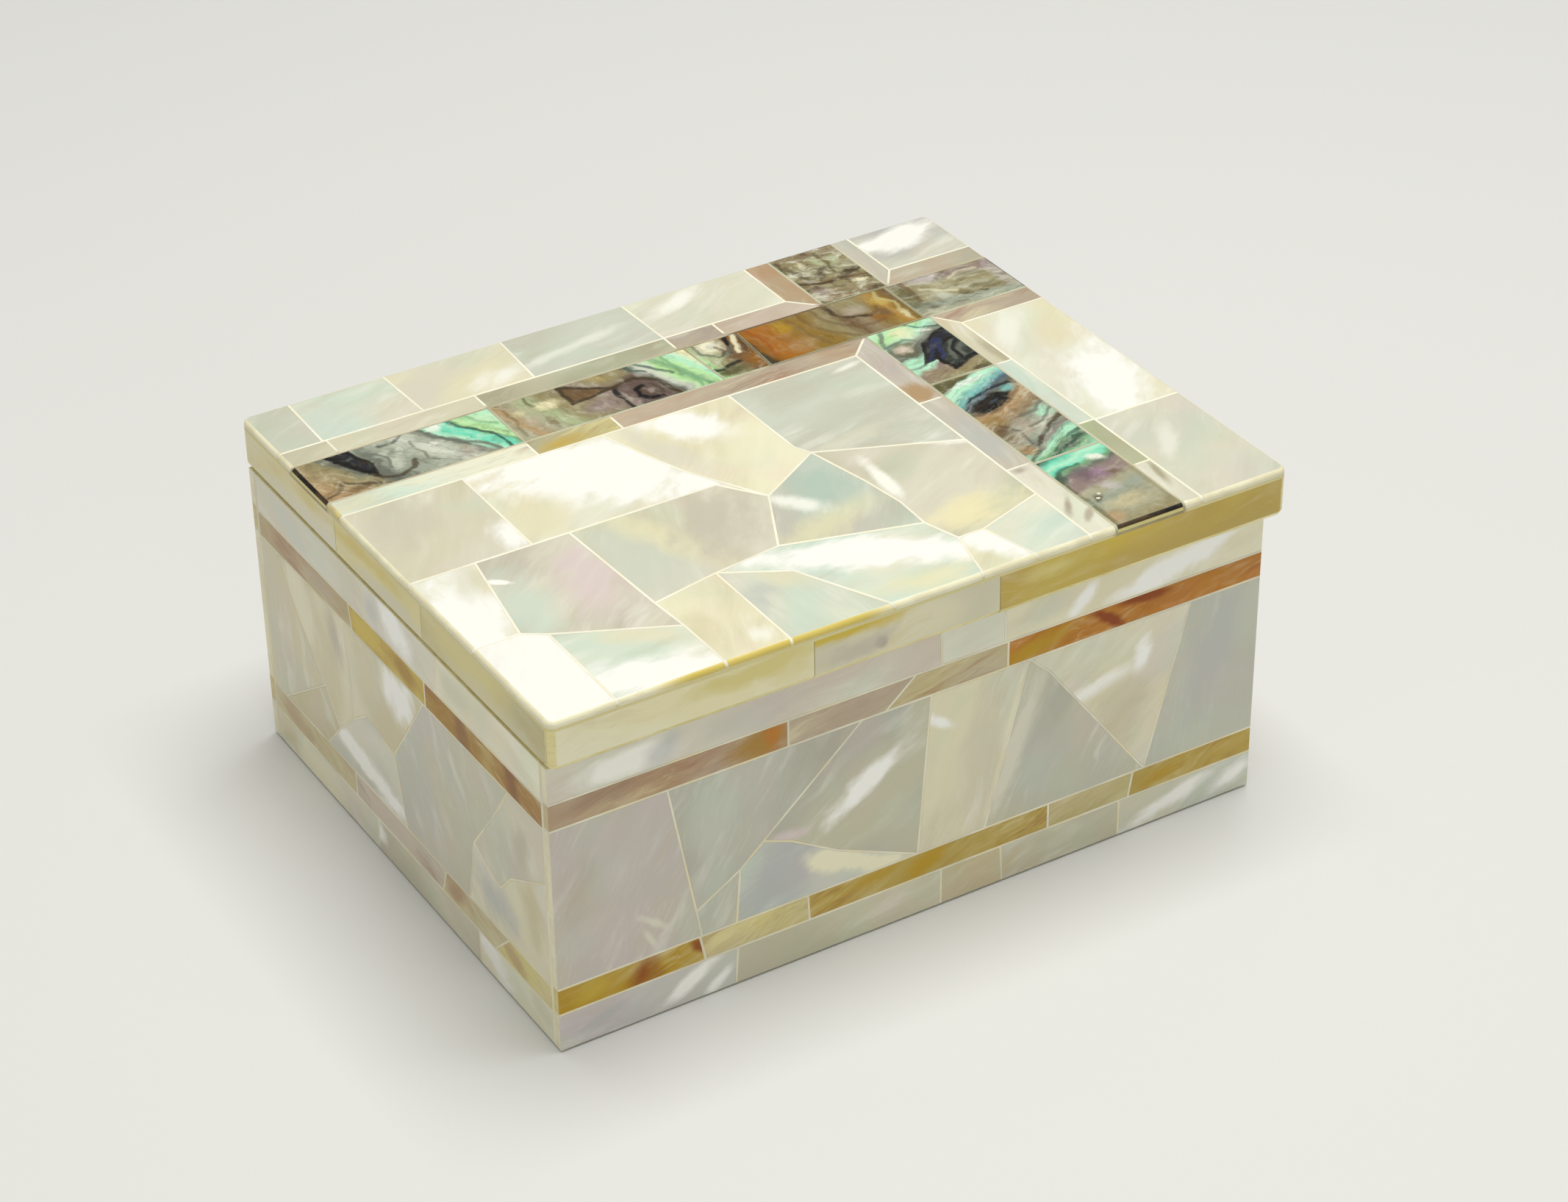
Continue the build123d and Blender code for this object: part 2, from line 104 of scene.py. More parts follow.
tints = {name: tone(*levels) for name, levels in {
    "white": (252, 252, 243), "pearl": (233, 234, 214), "cream": (232, 226, 194), "straw": (240, 233, 190),
    "sand": (216, 212, 186), "mist": (208, 214, 200), "grey": (200, 202, 186), "shade": (182, 182, 166),
    "lilac": (206, 198, 200), "blush": (216, 203, 188), "rose": (192, 174, 152), "fawn": (200, 190, 162),
    "olive": (196, 186, 132), "butter": (224, 212, 142), "lemon": (238, 228, 172), "wheat": (204, 190, 144),
    "honey": (194, 168, 84), "gold": (190, 152, 26), "amber": (190, 128, 40), "rust": (146, 68, 6),
    "cocoa": (184, 150, 114), "dusk": (150, 118, 96), "brassy": (214, 190, 70), "ink": (18, 16, 17),
    "gloom": (46, 53, 52), "bark": (70, 56, 36), "tan": (182, 152, 112), "silver": (158, 166, 150),
    "turquoise": (116, 222, 190), "lime": (186, 232, 164), "plum": (122, 100, 112), "orchid": (160, 128, 156),
    "moss": (96, 92, 56), "navy": (30, 34, 44), "orange": (198, 124, 36), "glow": (255, 255, 251),
    "ivory": (242, 238, 208), "bone": (222, 219, 201), "stone": (200, 197, 172), "ash": (194, 195, 181),
    "dove": (202, 195, 179), "haze": (186, 189, 188), "petal": (226, 208, 210), "thistle": (200, 193, 186),
    "foam": (208, 226, 212), "lagoon": (184, 202, 190), "oat": (212, 202, 162), "clay": (176, 164, 146),
    "caramel": (176, 136, 62), "slate": (108, 114, 104), "pine": (54, 84, 72), "fern": (124, 172, 128),
    "mint": (182, 238, 206), "sage": (176, 188, 146), "sky": (122, 188, 186), "steel": (84, 106, 124),
    "indigo": (44, 52, 92), "stonewash": (172, 168, 140), "dregs": (104, 84, 80), "khaki": (150, 140, 102),
    "taupe": (148, 132, 104), "mauve": (150, 132, 128), "umber": (112, 86, 56), "russet": (142, 92, 20),
    "copper": (166, 104, 26), "ochre": (142, 112, 44), "bronze": (160, 112, 44), "toffee": (172, 130, 24),
    "mustard": (190, 166, 86), "pewter": (185, 184, 170),
}.items()}


# A socket that can be written in sums
class Signal:
    def __init__(self, finish, socket):
        self.finish = finish
        self.socket = socket

    def __add__(self, other):
        return self.finish.sum("ADD", self, other)

    def __sub__(self, other):
        return self.finish.sum("SUBTRACT", self, other)

    def __mul__(self, other):
        return self.finish.sum("MULTIPLY", self, other)

    def __truediv__(self, other):
        return self.finish.sum("DIVIDE", self, other)

    def __pow__(self, other):
        return self.finish.sum("POWER", self, other)

    def __rsub__(self, other):
        return self.finish.sum("SUBTRACT", other, self)

    __radd__ = __add__
    __rmul__ = __mul__

    def part(self, index):
        return self.finish.node("SeparateXYZ", {}, {0: self}, index)


# A material that is written as expressions
class Finish:
    def __init__(self, name):
        self.material = bpy.data.materials.new(name)
        self.material.use_nodes = True
        self.tree = self.material.node_tree
        self.tree.nodes.clear()

    def node(self, kind, settings=None, sockets=None, output=0):
        made = self.tree.nodes.new("ShaderNode" + kind)
        for name, value in (settings or {}).items():
            if name == "stops":
                ramp = made.color_ramp
                while len(ramp.elements) < len(value):
                    ramp.elements.new(0.5)
                for stop, (place, colour) in zip(ramp.elements, value):
                    stop.position = place
                    stop.color = colour
            else:
                setattr(made, name, value)
        for name, value in (sockets or {}).items():
            if isinstance(value, Signal):
                self.tree.links.new(value.socket, made.inputs[name])
            else:
                made.inputs[name].default_value = value
        return Signal(self, made.outputs[output]) if made.outputs else None

    def sum(self, operation, *parts):
        return self.node("Math", {"operation": operation}, dict(enumerate(parts)))

    def mix(self, share, first, second):
        return self.node("Mix", {"data_type": "RGBA"}, {0: share, 6: first, 7: second}, 2)

    def vector(self, operation, *parts):
        output = 1 if operation in ("DOT_PRODUCT", "LENGTH", "DISTANCE") else 0
        return self.node("VectorMath", {"operation": operation}, dict(enumerate(parts)), output)

    def scale(self, vector, amount):
        return self.node("VectorMath", {"operation": "SCALE"}, {0: vector, 3: amount})

    def ease(self, value, start, end, low=0.0, high=1.0):
        kind = {"interpolation_type": "SMOOTHSTEP"}
        return self.node("MapRange", kind, {0: value, 1: start, 2: end, 3: low, 4: high})

    def attribute(self, name, output="Vector"):
        return self.node("Attribute", {"attribute_name": name}, output=output)

    def noise(self, place, size, detail=2.0, rough=0.5, output=0):
        sockets = {"Vector": place, "Scale": 1 / size, "Detail": detail, "Roughness": rough}
        return self.node("TexNoise", {"noise_dimensions": "3D"}, sockets, output)

    # Object coordinates in mm
    def place(self, origin=(0, 0, 0)):
        place = self.scale(self.node("TexCoord", output="Object"), 1 / mm)
        return self.vector("SUBTRACT", place, Vector(origin) / mm)

    def bump(self, height):
        return self.node("Bump", {}, {"Height": height * mm, "Distance": 1.0, "Strength": 1.0})

    def surface(self, sockets):
        shader = self.node("BsdfPrincipled", {}, sockets)
        self.node("OutputMaterial", {}, {"Surface": shader})
        return self.material


# Polished shell: two tints in clouds, silky bands along the growth lines, hints of pink and green, then up to three
# clouds of other tints, where the glow and white ones are painted highlights
shells = {
    "pearl": {
        "light": "white", "dark": "fawn", "silk": 0.25, "fine": 0.1, "blush": 0.16, "lustre": 0.12,
        "coat": 0.4, "shine": 0.5, "edge": ("ivory", "cream", "oat"),
    },
    "brown": {
        "light": "straw", "dark": "rust", "silk": 0.34, "fine": 0.18, "blush": 0.02, "lustre": 0.05,
        "coat": 0.08, "shine": 0.25, "edge": ("butter", "wheat", "honey"),
    },
    "gold": {
        "light": "cream", "dark": "honey", "silk": 0.2, "fine": 0.1, "blush": 0.03, "lustre": 0.08,
        "coat": 0.15, "shine": 0.35, "edge": ("lemon", "butter", "honey"),
    },
}
growth = {
    "bend": (9, 4),  # size and reach of the growth lines' curves in mm
    "cloud": 12,  # sizes across the growth lines in mm
    "silk": 2.4,
    "fine": 0.45,
    "pink": (12, tone(226, 198, 200)),  # size in mm and tint
    "green": (10, tone(188, 220, 194)),
    "glow": (1.6, 0.25),  # where a cloud begins and is full, in half widths
    "ragged": (4.5, 2.6),  # size in mm and amount of its torn outline
}
# Attributes of up to three clouds a piece; clouds in the glow and white tints are painted highlights of the polished
# shell
glowNames = ["glowOne", "glowTwo", "glowThree"]


def shellFinish(name, look):
    f = Finish(name)
    grown = f.attribute("grown")
    light, dark = tints[look["light"]], tints[look["dark"]]
    size, reach = growth["bend"]
    bent = f.vector("ADD", grown, f.scale(f.noise(grown, size, 1, 0.5, 1), reach))
    cloud = f.noise(f.vector("MULTIPLY", bent, (0.6, 1, 1)), growth["cloud"], 1.5, 0.45)
    silk = f.noise(f.vector("MULTIPLY", bent, (0.2, 1, 1)), growth["silk"], 3, 0.5)
    fine = f.noise(f.vector("MULTIPLY", bent, (0.07, 1, 1)), growth["fine"], 2, 0.6)
    colour = f.mix(f.ease(cloud, 0.36, 0.64), f.attribute("tint", "Color"), f.attribute("drift", "Color"))
    for (size, tint), shift in ((growth["pink"], (0, 0, 0)), (growth["green"], (31, 17, 5))):
        blush = f.noise(f.vector("ADD", bent, shift), size, 1, 0.5)
        colour = f.mix(f.ease(blush, 0.5, 0.7) * look["blush"], colour, tint)
    streaky = f.ease(f.noise(f.vector("ADD", bent, (7, 53, 11)), 14, 1, 0.5), 0.35, 0.65, 0.3, 1.3)
    for grain, amount in ((silk, look["silk"]), (fine, look["fine"])):
        colour = f.mix(f.ease(grain, 0.5, 0.74) * streaky * amount, colour, light)
        colour = f.mix(f.ease(grain, 0.5, 0.26) * streaky * amount, colour, dark)
    size, amount = growth["ragged"]
    edge = (f.noise(f.vector("MULTIPLY", bent, (0.5, 1, 1)), size, 4, 0.6) - 0.5) * amount
    # clouds of other tints; the glow and white ones are painted highlights
    for glow in glowNames:
        spot = f.attribute(glow)
        away = f.vector("LENGTH", f.vector("MULTIPLY", spot, (1, 1, 0))) + edge
        mask = f.sum("MINIMUM", f.ease(away, *growth["glow"]) * spot.part(2), 1)
        colour = f.mix(mask, colour, f.attribute(glow + "Tint", "Color"))
    relief = f.attribute("lean", "Fac") + cloud * 0.15 + silk * 0.04
    return f.surface({
        "Base Color": colour,
        "Roughness": 0.24 + silk * 0.2,
        "Metallic": look["lustre"],
        "Specular IOR Level": look["shine"],
        "Normal": f.bump(relief),
        "Coat Weight": look["coat"],
        "Coat Roughness": 0.06,
    })


# Changes of tint on the lid's edges, from and to these places in mm
edging = {
    "gilt": (20, 12),  # to either side of the middle
    "middle": 33,
    "front": (0.9, 0.5),
    "top": (51.3, 51.7),
    "dark": (52.0, 51.85),
}


# The cut edge of a piece, where the layers show end on
def edgeFinish(name, first, second, layer, coat=0.15):
    f = Finish(name)
    place = f.place()
    layers = f.noise(f.vector("MULTIPLY", place, (0.12, 0.12, 1)), 0.3, 3, 0.6)
    patch = f.noise(place, 6, 3, 0.6)
    colour = f.mix(f.ease(patch, 0.4, 0.6), tints[first], tints[second])
    colour = f.mix(f.ease(layers, 0.5, 0.7, 0, 0.3), colour, tints[layer])
    along, inward, height = (f.place(lidCorner).part(k) for k in range(3))
    if name == "pearlEdge":
        # golden along the middle of the lid's front edge
        gilt = f.ease(f.sum("ABSOLUTE", along - edging["middle"]), *edging["gilt"])
        gilt = gilt * f.ease(inward, *edging["front"]) * f.ease(height, *edging["top"])
        colour = f.mix(gilt * 0.85, colour, tints["brassy"])
    if name == "abaloneEdge":
        # only the upper half of the bands' ends is dark
        colour = f.mix(f.ease(height, *edging["dark"]), colour, tints["butter"])
    return f.surface({
        "Base Color": colour,
        "Roughness": 0.3 + layers * 0.15,
        "Specular IOR Level": 0.3,
        "Coat Weight": coat,
        "Coat Roughness": 0.08,
    })


finishes = {kind + "_shell": shellFinish(kind + "Shell", look) for kind, look in shells.items()}
edges = {kind + "_shell": edgeFinish(kind + "Edge", *look["edge"]) for kind, look in shells.items()}
edges["abalone"] = edgeFinish("abaloneEdge", "bark", "ink", "umber", 0.02)
print("shell finishes made")

# Faces of the box, each with its along and up directions
right, inward, upward = (Vector([k == n for k in range(3)]) for n in range(3))
faces = {
    "lid": (right, inward),
    "front": (right, upward),
    "back": (right, upward),
    "left": (inward, upward),
    "right": (inward, upward),
}

# How every shell piece is cut
cutting = {
    "edge": 0.05,  # eased edge in mm
    "sharp": math.radians(35),  # edges beyond this angle are eased
    "top": 0.97,  # faces that look out less than this show the layers end on
    "lean": 0.05,  # largest slope of a piece's polish
    "lip": 0.15,  # how far the lid's edge strips reach down into the slit above the case
    "hinged": 35,  # no lip behind here, near the hinges
}


# Connected pieces of a mesh
def pieceParts(work):
    left = set(work.verts)
    found = []
    while left:
        part, edge = set(), [next(iter(left))]
        while edge:
            vert = edge.pop()
            if vert in part:
                continue
            part.add(vert)
            edge.extend(e.other_vert(vert) for e in vert.link_edges)
        left -= part
        found.append(sorted(part, key=lambda v: v.index))
    return found


def faceSpot(side, point):
    along, up = faces[side]
    away = (point - lidCorner) / mm
    return away.dot(along), away.dot(up), away.dot(along.cross(up))


# A place in the directions of a grain
def turned(x, y, degrees):
    turn = math.radians(degrees)
    return x * math.cos(turn) + y * math.sin(turn), y * math.cos(turn) - x * math.sin(turn)


# Gives a piece its tints, growth direction and up to three clouds of another tint; clouds in glow and white are
# painted highlights.
# A look is (along, up, tint, drift, grain in degrees, clouds), a cloud (along, up, long, wide, turn, tint, strength)
def paintPart(layers, part, side, look, rng):
    tint, drift, grain, *clouds = look[2:]
    seed = rng.uniform(0, 400)
    lean = [rng.uniform(-cutting["lean"], cutting["lean"]) for k in range(2)]
    middle = Vector(faceSpot(side, partMiddle(part)))
    for vert in part:
        a, b, c = faceSpot(side, vert.co)
        vert[layers["tint"]] = tints[tint]
        vert[layers["drift"]] = tints[drift]
        vert[layers["grown"]] = (*turned(a, b, grain), c + seed)
        vert[layers["lean"]] = (a - middle.x) * lean[0] + (b - middle.y) * lean[1]
        for name, cloud in zip(glowNames, [*clouds, None, None, None]):
            if cloud:
                u, v, long, wide, angle, glowTint, strength = cloud
                x, y = turned(a - u, b - v, angle)
                vert[layers[name]] = (x / long, y / wide, strength)
                vert[layers[name + "Tint"]] = tints[glowTint]
            else:
                vert[layers[name]] = (9, 9, 0)


def nearest(looks, spot):
    def gap(look):
        return sum((a - b) ** 2 for a, b in zip(look[:2], spot))
    return min(looks, key=gap)


# A node's plain mesh, welded, as separate pieces
def openPieces(node):
    work = bmesh.new()
    work.from_mesh(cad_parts[node].data)
    bmesh.ops.remove_doubles(work, verts=work.verts, dist=1e-6)
    bmesh.ops.dissolve_limit(work, angle_limit=math.radians(0.5), verts=work.verts, edges=work.edges)
    kinds = {"tint": "float_color", "drift": "float_color", "grown": "float_vector", "lean": "float"}
    for name in glowNames:
        kinds[name], kinds[name + "Tint"] = "float_vector", "float_color"
    layers = {name: getattr(work.verts.layers, kind).new(name) for name, kind in kinds.items()}
    work.verts.index_update()
    return work, sorted(pieceParts(work), key=lambda part: part[0].index), layers


def partMiddle(part):
    return sum((v.co for v in part), Vector()) / len(part)


# The finished mesh stands for its node and moves with its body
def standIn(work, node, ending, materials):
    for face in work.faces:
        face.smooth = True
    data = bpy.data.meshes.new(node + ending)
    work.to_mesh(data)
    work.free()
    for material in materials:
        data.materials.append(material)
    piece = placed(node + ending, data)
    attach(piece, "lid" if node.startswith("lid") else "case")
    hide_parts(node)
    return piece


def evenShading(piece):
    piece.modifiers.new("flat faces", "WEIGHTED_NORMAL").weight = 100


# Eases the edges and puts the pieces in place of the node's plain ones
def closePieces(work, node, side, slot, materials):
    along, up = faces[side]
    out = along.cross(up) * (-1 if side in ("left", "back") else 1)
    for face in work.faces:
        if face.normal.dot(out) < cutting["top"]:
            face.material_index = len(materials)
    bmesh.ops.bevel(
        work, geom=[e for e in work.edges if len(e.link_faces) == 2 and e.calc_face_angle() > cutting["sharp"]],
        offset=cutting["edge"] * mm, segments=2, profile=0.5, affect="EDGES", clamp_overlap=True,
    )
    evenShading(standIn(work, node, "_cut", [*materials, edges[slot]]))


def cutPieces(node, side, slot, looks):
    rng = random.Random(node)
    work, parts, layers = openPieces(node)
    if node.startswith("lid_rim"):
        bottom = min(vert.co.z for vert in work.verts)
        for vert in work.verts:
            if vert.co.z < bottom + cutting["lip"] * mm and vert.co.y < cutting["hinged"] * mm:
                vert.co.z -= cutting["lip"] * mm
    for part in parts:
        paintPart(layers, part, side, nearest(looks, faceSpot(side, partMiddle(part))), rng)
    closePieces(work, node, side, slot, [finishes[slot]])


# The lid's top, tile by tile
lidField = [
    (4.5, 10, "glow", "white", 60, (5, 9, 14, 8, 80, "glow", 1)),
    (4, 29, "pearl", "cream", 75, (3, 25, 12, 5, 82, "glow", 1.5), (8, 34, 4, 3, 60, "sand", 0.6)),
    (16, 27, "bone", "dove", 40,
        (20, 27, 8, 4, 75, "petal", 0.8), (11, 25, 8, 3.6, 75, "foam", 0.7),
        (10.5, 31.9, 1.5, 0.5, -35, "glow", 1.8)),
    (17, 8, "foam", "pearl", 10, (17, 3, 11, 4.4, -12, "glow", 1.3), (20, 11, 6, 2, -30, "cream", 0.7)),
    (30, 11, "ivory", "cream", 70, (32.5, 3.4, 2, 1.6, 60, "white", 0.8), (27, 8, 6, 2, 80, "oat", 0.5)),
    (37, 29, "bone", "sand", 60,
        (29, 27, 10, 6, 80, "mist", 0.8), (34, 30, 10, 2.6, 112, "straw", 0.6), (42, 30, 9, 5, 60, "dove", 0.9)),
    (9, 48, "bone", "sand", 60, (17.4, 41.8, 3.8, 2, 75, "glow", 1.4), (6, 52, 7, 4, 60, "dove", 0.5)),
    (32, 47, "pearl", "cream", 35,
        (33, 51, 15, 7.4, -32, "glow", 1.7), (22, 43, 6, 4, 60, "cream", 0.8), (44, 41, 6, 1.6, -60, "glow", 1)),
    (53, 48, "ivory", "cream", 50,
        (51, 54, 5.6, 3.2, -50, "glow", 1.4), (45, 50, 8, 2.2, -70, "bone", 0.8), (55, 44, 7, 4, 60, "ivory", 0.6)),
    (71, 44, "grey", "mist", 10, (66, 38.4, 8, 1.6, 5, "bone", 0.9), (78.6, 55.8, 2.4, 0.6, 10, "white", 0.8)),
    (56, 26, "mist", "ash", 55,
        (58.4, 30, 8, 5, 60, "lagoon", 1.1), (52, 20.6, 9, 3, 20, "straw", 0.6),
        (52.6, 28.8, 5, 1.6, -50, "white", 0.9)),
    (71, 22, "bone", "stone", 30,
        (71, 14, 8, 3.4, 10, "straw", 1), (66.2, 27, 5, 0.9, 85, "white", 1.1), (77, 33, 7, 1, -35, "white", 1)),
    (53, 9, "pearl", "foam", 5, (53, 13.4, 15, 3.2, -25, "glow", 1.6), (56, 3, 7, 2.6, -10, "straw", 0.7)),
    (41, 7, "pearl", "mist", 100,
        (37, 10.6, 3.4, 1.8, 60, "haze", 0.5), (41.6, 14, 5, 1.8, -55, "cream", 0.7), (41, 6, 5, 3, 60, "foam", 0.7)),
    (68, 4, "ivory", "cream", 40, (70, 6, 5.4, 2.4, -70, "glow", 1.2)),
    (76, 6, "pearl", "foam", 20),
]
lidRight = [
    (106, 40, "pearl", "cream", 60, (108, 33, 11, 5, 75, "glow", 1.5), (104, 52, 6, 2, 60, "white", 0.7)),
    (106, 12, "mist", "bone", 50, (104, 14, 6, 1.2, 60, "white", 0.5)),
    (106, 83, "bone", "haze", 20, (106, 85, 8, 2.2, 10, "glow", 1.4)),
]
lidBack = [
    (3, 83, "mist", "grey", 30),
    (15, 83, "bone", "foam", 20),
    (31, 83, "cream", "bone", 25, (36, 80, 5, 2, 20, "white", 0.9)),
    (50, 83, "mist", "grey", 15, (48, 82, 10, 1, 12, "white", 0.6)),
    (71, 83, "pearl", "bone", 25, (68, 86, 5, 1.5, 25, "white", 1)),
]
innerBorder = [
    (15, 60, "pearl", "foam", 5, (3, 60, 4, 3, 0, "sand", 0.7)),
    (37, 60, "olive", "stonewash", 20, (34, 59, 4, 1.6, 10, "honey", 1)),
    (64, 60, "rose", "clay", 8, (79, 60, 4, 2, 0, "cocoa", 0.5)),
    (106, 60, "clay", "rose", 10),
]
outerBorder = [
    (3, 75, "sand", "stone", 10),
    (19, 75, "sand", "bone", 10),
    (45, 75, "stonewash", "stone", 10),
    (65, 75, "clay", "mauve", 10),
    (77, 75, "blush", "rose", 10),
    (106, 75, "rose", "clay", 10),
]
leftBorder = [
    (83.5, 10, "bone", "pearl", 80,
        (83.2, 8, 2, 0.5, 60, "clay", 0.9), (84.4, 4.8, 1.4, 0.5, 50, "clay", 0.8), (83, 19, 1, 0.7, 0, "clay", 0.8)),
    (83.5, 31, "dove", "thistle", 80, (83.5, 30, 6, 2, 88, "haze", 0.6)),
    (83.5, 52, "thistle", "dove", 85, (83.6, 43.6, 2.6, 2.6, 90, "tan", 1.3), (83, 53, 4, 2, 90, "mauve", 0.2)),
    (83.5, 83, "cocoa", "tan", 85),
]
rightBorder = [
    (98, 6, "bone", "pearl", 80, (98.6, 9, 3, 0.6, 80, "khaki", 0.7)),
    (98, 18, "stonewash", "sage", 80),
    (98, 35, "pearl", "foam", 85),
    (98, 53, "oat", "sand", 85, (99, 48, 4, 1, 90, "khaki", 0.5)),
    (98, 83, "ash", "dove", 85),
]
for node, looks in {
    "lid_field_tiles": lidField, "lid_right_tiles": lidRight, "lid_back_tiles": lidBack,
    "lid_inner_border": innerBorder, "lid_outer_border": outerBorder, "lid_left_border": leftBorder,
    "lid_right_border": rightBorder,
}.items():
    cutPieces(node, "lid", "brown_shell" if node == "lid_inner_border" else "pearl_shell", looks)
print("lid tiles cut")

# Abalone, piece by piece: colour bands across the piece, then soft blots, crisp shapes and dark growth lines.
# "slant" is the bands' direction, and they are counted along the axis that has 1 there. A blot is like a cloud,
# a shape is (fill, outline, corners) and a stroke (half width, tint, strength, path)
abaloneLooks = {}
abaloneLooks["longFirst"] = {
    "middle": (15, 67.6), "slant": (1, 0.65), "mottle": 0.3, "streak": 0.3, "lines": 0.25,
    "bands": {
        -1: "tan", 5.5: "khaki", 7.5: "slate", 9.6: "slate", 11.5: "silver", 13.4: "silver", 15: "silver",
        19: "mist", 21.6: "silver", 22.4: "slate", 23.4: "mint", 24.6: "turquoise", 26.2: "turquoise", 27: "fern",
        27.8: "lime", 33: "mint",
    },
    "blots": [
        (7, 71, 3.6, 1.2, -62, "ink", 0.8), (10.4, 69.4, 1.2, 2.6, 10, "slate", 0.8),
        (9, 68, 1.8, 0.5, -70, "navy", 0.7), (12.6, 66, 2, 1.1, 70, "mist", 0.7),
        (6, 63.2, 2.8, 1, 8, "umber", 0.75), (10, 71, 0.9, 2.6, 20, "slate", 0.6),
        (14.4, 69, 1.6, 0.8, 60, "mist", 0.7), (12, 69.6, 1.3, 0.7, 20, "mist", 0.6),
        (18.7, 67.3, 1.3, 2.2, 30, "mist", 0.8), (19.3, 68.4, 0.9, 0.7, 0, "white", 0.7),
        (21.5, 72.4, 1.3, 1.3, 0, "white", 0.8), (22.4, 65, 0.6, 0.9, 0, "rose", 0.7),
        (23, 63.4, 2.2, 0.9, 0, "mauve", 0.6),
    ],
    "shapes": [("navy", "ink", (5, 74), (9.2, 64.6), (9.7, 67.6), (8, 74))],
    "strokes": [
        (0.34, "ink", 1, (4.9, 73.8), (6.3, 70), (8.2, 67), (9.2, 64.6)),
        (0.26, "bark", 0.7, (0, 62.8), (2.5, 63.4), (4.5, 65.4), (6.8, 63.8), (8.6, 62.8)),
        (0.3, "umber", 0.4, (0.4, 63.8), (2.4, 64.4), (4, 66.2)),
        (0.3, "khaki", 0.5, (1, 68.4), (2.6, 70.4), (3.4, 73)),
        (0.3, "bark", 0.8, (8.5, 65.5), (9.5, 63.9), (12, 63.2), (14.5, 64), (15.3, 66)),
        (0.25, "ink", 0.7, (12.6, 71.8), (14.2, 71.5), (15.2, 71.8), (16.4, 72.6)),
        (0.16, "bark", 0.5, (17, 70.6), (16.5, 68.6), (17.2, 67.2), (17, 65.2), (18.2, 64.2)),
        (0.15, "slate", 0.8, (11, 70.6), (12.4, 68.2), (11.6, 65.8)),
        (0.28, "slate", 0.9, (20, 71.4), (21.6, 68.6), (23.6, 66.6), (25.6, 65), (26.6, 62.4)),
        (0.2, "pine", 0.9, (23.2, 73), (24.8, 70.2), (27.6, 67), (28.3, 62.2)),
        (0.16, "fern", 0.7, (26.4, 73), (27.6, 70.6), (29.4, 68.6)),
    ],
}
abaloneLooks["longSecond"] = {
    "middle": (46, 67.6), "slant": (1, 0.35), "mottle": 0.2, "streak": 0.26, "lines": 0.2,
    "bands": {
        30.5: "stonewash", 32: "tan", 34: "stonewash", 37: "sage", 39.6: "khaki", 41: "khaki", 47.3: "mauve",
        48: "dregs", 52.5: "dregs", 54.4: "slate", 55.6: "mist", 57: "lime", 58.2: "fern", 59.2: "lime",
        60.6: "mint", 62.5: "straw",
    },
    "blots": [
        (33, 69.2, 1.3, 0.9, 0, "oat", 0.9), (37.6, 69.3, 2.3, 1.4, 0, "straw", 0.9),
        (49.6, 71.9, 2.8, 1.9, 0, "khaki", 1), (33.6, 66.3, 1.2, 1.6, 0, "rose", 0.6),
        (36.2, 64.6, 0.7, 1.8, 0, "umber", 0.7), (46.6, 71.4, 3.8, 1.5, -35, "khaki", 0.9),
        (47, 72, 2, 0.8, -30, "honey", 0.4), (44, 64.8, 3, 2, 0, "mauve", 0.9),
        (51.2, 65.4, 3.2, 3.2, 0, "dregs", 1), (51.6, 65, 1.5, 1.9, 0, "bark", 0.7),
        (51.8, 65.2, 0.6, 0.9, 0, "mauve", 0.9), (54, 70.8, 1.5, 2.2, -30, "mist", 0.9),
    ],
    "shapes": [("umber", "bark", (41, 72.9), (40.8, 67.3), (47.7, 68.6))],
    "strokes": [
        (0.3, "ink", 0.95, (47.7, 68.6), (47.2, 66), (47.8, 62.2)),
        (0.34, "bark", 0.95, (47.7, 68.6), (50, 69.2), (52.4, 68.8), (54.4, 66.8), (55.2, 62.2)),
        (0.45, "ink", 1, (51.6, 66.8), (50.2, 66.4), (49.9, 64.4), (50.9, 63.1), (52.8, 62.8)),
        (0.22, "bark", 0.7, (52.9, 66.6), (53.5, 64.6), (52.8, 62.8)),
        (0.2, "pine", 0.8, (51.9, 73.4), (52.4, 71.4), (53.8, 70)),
        (0.22, "pine", 0.8, (53.6, 73), (55, 70.6), (57, 68)),
        (0.24, "fern", 0.8, (57.8, 73.4), (58, 69), (59.2, 66), (58.8, 62.4)),
        (0.25, "moss", 0.7, (35.6, 73.4), (35.3, 71), (35.9, 69.8)),
        (0.2, "moss", 0.5, (31.4, 73), (31.8, 68), (31.2, 63)),
    ],
}
abaloneLooks["longThird"] = {
    "middle": (66, 67.6), "slant": (1, 0.2), "mottle": 0.3, "streak": 0.3, "lines": 0.3,
    "bands": {62: "lime", 63.2: "sage", 65.4: "khaki", 67: "umber", 70.6: "russet"},
    "blots": [
        (65.1, 71.5, 2.2, 2.1, 20, "ivory", 1), (65.4, 71.2, 0.9, 0.8, 0, "haze", 0.6),
        (64.6, 68.2, 1.4, 1.1, 0, "sage", 0.8), (64.4, 63.6, 2.8, 1.5, 0, "moss", 1),
        (69, 64.6, 1.9, 2.4, 0, "russet", 0.9), (66.6, 67.2, 1, 0.8, 0, "umber", 0.8),
    ],
    "strokes": [
        (0.3, "ink", 1, (68.4, 73.6), (67.8, 71), (67, 68.4)),
        (0.25, "bark", 0.8, (70.5, 73), (69.9, 70), (69.1, 67.2)),
        (0.36, "cream", 0.95, (69.9, 73.2), (68.9, 70.4), (68.1, 67.8)),
        (0.4, "ink", 0.9, (62, 64.9), (63.6, 64.7), (65, 65.2), (66.8, 65.4)),
        (0.2, "slate", 0.8, (63, 72.6), (63, 70), (64.6, 68.2), (66.8, 68.4), (67.8, 70)),
        (0.18, "bark", 0.7, (65.8, 70.8), (66.3, 69.2), (65.4, 68.4)),
    ],
}
